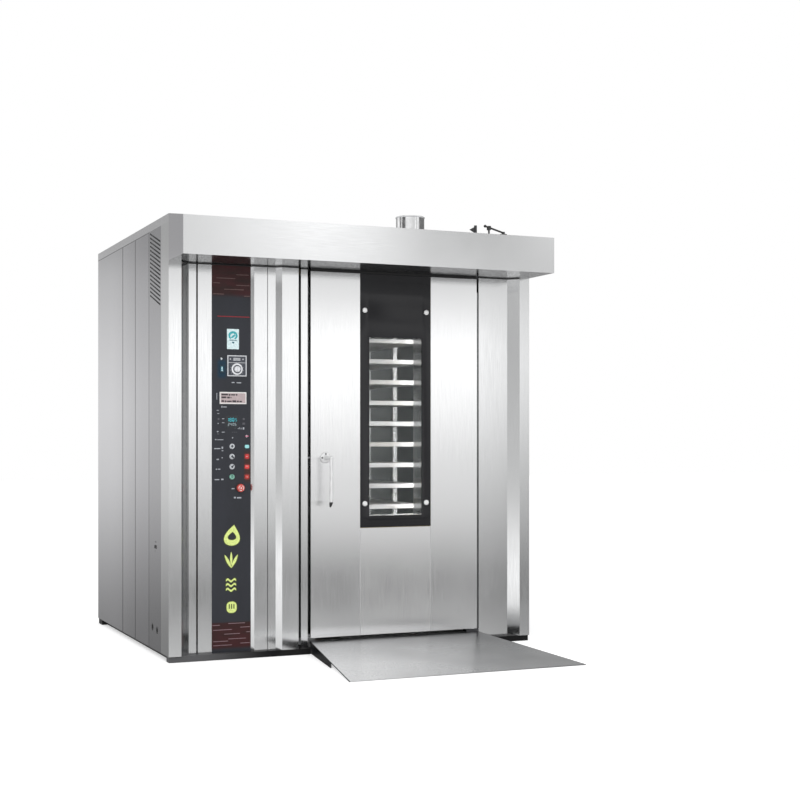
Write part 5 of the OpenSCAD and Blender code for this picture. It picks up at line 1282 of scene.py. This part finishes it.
screen_white = moulded("screen_frame_white", (0.76, 0.74, 0.73), 0.35, 0.08)
screen_pink = ink("screen_rose", (0.50, 0.40, 0.41), 0.06, 0.25)
screen_dark = ink("screen_dark", (0.045, 0.036, 0.042), 0.0, 0.3)
(sx0, _, sz0), (sx1, _, sz1) = SCREEN
frame_piece = opening(block("screen_frame", (sx0, 48.6, sz0), (sx1, 53.8, sz1)), (sx0 + 5, sz0 + 6), (sx1 - 5, sz1 - 6))
on_panel(frame_piece, screen_white, ease=0.5)
pink = outlined("screen_glass", [rounded(sx0 + 4, sz0 + 5, sx1 - 4, sz1 - 5, 1.5)], 49.6, 53.4)
on_panel(pink, screen_pink)
rows = []
for row_z, widths in ((1319, (34, 9, 22, 7)), (1305, (26, 14, 5)), (1286, (14, 8, 24, 20, 10, 12))):
    at = sx0 + 9
    for step, wide in enumerate(widths):
        rows.append(rounded(at, row_z - 4.2 - step % 2, at + wide, row_z + 4.6 - step % 3, 1.0, 2))
        at += wide + 3.6
on_panel(outlined("screen_rows", rows, 49.4, 49.8), screen_dark)


def numbers(text, x, z, high, thick):
    """Seven-segment numbers, each segment a bar."""
    half, wide, shapes = high / 2, high * 0.52, []
    for sign in text:
        middle = {"a": (0, half), "g": (0, 0), "d": (0, -half)}
        upright = {"f": (-wide / 2, half / 2), "b": (wide / 2, half / 2), "e": (-wide / 2, -half / 2),
            "c": (wide / 2, -half / 2)}
        for part in SEGMENTS.get(sign, ""):
            if part in middle:
                shapes.append(bar(x - wide / 2 + 0.6, x + wide / 2 - 0.6, z + middle[part][1], thick))
            else:
                dx, dz = upright[part]
                shapes.append([(x + dx + a, z + dz + c) for c, a in bar(-half / 2 + 0.6, half / 2 - 0.6, 0, thick)])
        x += wide + thick + 2.2
    return shapes


display_glass = moulded("display_window", (0.012, 0.016, 0.020), 0.2, 0.1)
on_panel(outlined("number_window", [rounded(304, 1150, 369, 1214, 3)], 49.6, 53.9), display_glass)
on_panel(outlined("set_numbers", numbers("180", 313.5, 1193, 17, 3.6) + numbers("25", 345, 1193, 13, 2.8), 49.2, 49.6),
         ink("cyan_segments", (0.05, 0.40, 0.47), 0.22))
on_panel(outlined("real_numbers", numbers("24", 319, 1170, 12, 2.6) + numbers("05", 343, 1170, 12, 2.6), 49.2, 49.6),
         ink("pale_segments", (0.34, 0.42, 0.45), 0.3))

# ---------------------------------------------------------------- printed legends
# Short pale bars and dots stand where the panel's captions are, with no words in them.

LEGENDS = ((281, 286, 1258, 9), (288, 309, 1257, 4), (256, 268, 1240, 3), (260, 270, 1224, 3), (284, 296, 1198, 3),
    (284, 297, 1178, 3),
           (262, 267, 1174, 5), (282, 298, 1131, 3), (258, 266, 1134, 6), (350, 354, 1152, 5), (366, 370, 1150, 7),
               (374, 377, 1151, 10),
           (382, 385, 1149, 8), (392, 400, 1150, 11), (248, 256, 1094, 5), (259, 291, 1093, 3), (336, 342, 1103, 6),
               (244, 276, 1049, 5),
           (282, 290, 1053, 11), (282, 291, 1038, 4), (256, 268, 995, 6), (282, 288, 1003, 5), (252, 260, 946, 5),
               (264, 276, 946, 4),
           (246, 270, 894, 5), (280, 292, 895, 7), (334, 349, 848, 5), (346, 356, 803, 8), (362, 384, 802, 7),
               (334, 349, 1380, 5),
           (360, 384, 1379, 5), (256, 259, 1310, 34))
FAINT = ((262, 271, 1197, 9), (392, 402, 1197, 10), (390, 404, 1174, 10), (336, 342, 1131, 3), (346, 352, 1131, 3),
    (356, 362, 1131, 3), (259, 269, 1122, 5))
# Painted light: the pale legends are plain print, given a faint glow.
legend_ink = ink("pale_legend_ink", (0.42, 0.44, 0.48), 0.05)
faint_ink = ink("faint_legend_ink", (0.10, 0.10, 0.115))


def strokes(rows, most):
    """Round-ended strokes, each given as its two ends, its height on the strip and its width."""
    return [rounded(x0, z - high / 2, x1, z + high / 2, min(most, high / 2 - 0.1), 3) for x0, x1, z, high in rows]


printed("legends", strokes(LEGENDS, 1.2), legend_ink)
printed("faint_legends", strokes(FAINT, 1.0), faint_ink)

# ---------------------------------------------------------------- push buttons and lamps
# Four lit ring buttons in one column: white, white, white, green. Beside them five lens lamps: a slim
# pink one, a cyan one and three red ones. The red mushroom button stops the oven.

BUTTON_X = 336
BUTTONS = (1060, 1009, 958, 907)
BUTTON_RADIUS = 11
LAMP_X = 414
STOP = (378, 851)
STOP_RADIUS = 20


def ring_button(name, ring_color, middle_color, z, gap_at, gap_wide):
    """A button's finish: a coloured ring, open at one place, round a dark middle."""
    cap = moulded(name, ring_color, 0.3, 0.08)
    at = place(BUTTON_X, 0, z)
    x, _, up = cap.axes(cap.spot)
    across = cap.node("ShaderNodeCombineXYZ", {0: x - at.x, 1: up - at.z})
    out = cap.node("ShaderNodeVectorMath", {0: across}, operation="LENGTH", out=1)
    angle = cap.maths("ARCTAN2", x - at.x, up - at.z) * (180 / math.pi)
    off = cap.maths("ABSOLUTE", angle - gap_at)
    on_ring = cap.slope(out, 0.0062, 0.0068) * cap.slope(off, gap_wide, gap_wide + 6)
    cap.over(1 - on_ring, middle_color)
    return cap


slate_collar = []
for number, z in enumerate(BUTTONS, 1):
    green = number == 4
    cap_finish = ring_button(f"button_{number}_moulding", (0.25, 0.52, 0.42) if green else (0.66, 0.69, 0.72),
                             (0.10, 0.26, 0.20) if green else (0.05, 0.055, 0.065), z, (0, 135, 45, 0)[number - 1],
                                 (0, 26, 16, 34)[number - 1])
    cap = turned(f"button_{number}_cap", (BUTTON_X, 50, z), (0, -1, 0), [
        (6, -30), (6, 0), (BUTTON_RADIUS, 0), (BUTTON_RADIUS, 5.6), (BUTTON_RADIUS - 1, 6.8), (7.2, 7.0), (6.4, 6.0),
            (0.5, 5.8)], 40)
    finished(cap, cap_finish, f"button_{number}",
        (f"push_button_{number}",))
    slate_collar.append(turned("button_collar", (BUTTON_X, 50, z), (0, -1, 0), [
        (BUTTON_RADIUS + 0.5, -0.5), (BUTTON_RADIUS + 3, -0.5), (BUTTON_RADIUS + 3, 1.4), (BUTTON_RADIUS + 2.2, 2.2),
            (BUTTON_RADIUS + 0.5, 2.2)], 40, hollow=True))
finished(joined("button_collars", slate_collar[:3]), moulded("grey_collar", (0.42, 0.43, 0.46), 0.3, 0.08),
    "cabinet")
finished(slate_collar[3], moulded("green_collar", (0.16, 0.34, 0.27), 0.3, 0.08), "cabinet")


def lens(name, z, wide, high, color, glow):
    """A lens lamp: a rounded lens standing a little proud of the strip."""
    body = outlined(name, [rounded(LAMP_X - wide / 2, z - high / 2, LAMP_X + wide / 2, z + high / 2,
        min(wide, high) * 0.3)], 47.8, 53.9)
    return on_panel(body, ink(name + "_glow", color, glow, 0.22), ease=0.8)


lens("pink_lens", 1111, 18, 5, (0.52, 0.10, 0.20), 0.15)
lens("cyan_lens", 1059, 22, 17, (0.30, 0.66, 0.68), 0.2)
lens("red_lens_1", 1009, 20, 22, (0.52, 0.040, 0.040), 0.3)
lens("red_lens_2", 957, 22, 19, (0.60, 0.055, 0.050), 0.35)
lens("red_lens_3", 907, 20, 20, (0.46, 0.045, 0.035), 0.25)
lens_rims = []
for z in (1009, 957, 907):
    lens_rims += [rounded(LAMP_X - wide, z - high, LAMP_X + wide, z + high, corner)
                  for wide, high, corner in ((15, 15, 9), (11.2, 11.6, 6))]
printed("lens_rims", lens_rims, moulded("dark_lens_rim", (0.14, 0.020, 0.018), 0.35, 0.2), 1.0)
printed("lens_bars", [bar(LAMP_X - 6, LAMP_X + 6, 960, 3.2), bar(LAMP_X - 5, LAMP_X + 5, 1009, 2.6),
    bar(LAMP_X - 5, LAMP_X + 5, 906, 2.6)],
        ink("lens_highlight", (0.70, 0.36, 0.36), 0.1), 2.5)
on_panel(turned("dot_lamp", (282, 50, 1498), (0, -1, 0), [(4.2, -3.9), (4.2, 1.0), (3.0, 2.0), (0.5, 2.4)], 24),
         ink("dot_lamp_white", (0.62, 0.66, 0.70), 0.2))

stop_x, stop_z = STOP
stop_red = moulded("stop_red_moulding", (0.60, 0.085, 0.070), 0.28, 0.15)
stop = turned("stop_mushroom", (stop_x, 50, stop_z), (0, -1, 0), [
    (7, -29), (7, 10), (STOP_RADIUS - 3, 10), (STOP_RADIUS, 12), (STOP_RADIUS, 16), (STOP_RADIUS - 2, 19.6),
        (STOP_RADIUS - 6, 21.4), (0.5, 22)], 48)
finished(stop, stop_red, "stop", ("stop_button",))
# The pale arcs and centre dot are a white ring mark that also stands as painted highlights on the dome.
stop_mark_highlight = moulded("stop_mark_white_highlight", (0.78, 0.66, 0.64), 0.35, 0.06)
swirl = outlined("stop_mark", [arc(stop_x, stop_z, 14, 3.4, 20, 118), arc(stop_x, stop_z, 14, 3.4, 164, 64),
    arc(stop_x, stop_z, 14, 3.4, 254, 84),
                               oval(stop_x, stop_z, 4.2, 4.2)], 27.9, 29.6)
finished(swirl, stop_mark_highlight, "stop")
stop_ring = turned("stop_ring", (stop_x, 50, stop_z), (0, -1, 0), [
    (10, -0.5), (STOP_RADIUS + 1.5, -0.5), (STOP_RADIUS + 1.5, 1.2), (STOP_RADIUS, 2.4), (10, 2.4)], 48, hollow=True)
finished(stop_ring, moulded("maroon_ring", (0.10, 0.020, 0.016), 0.4, 0.2), "cabinet")
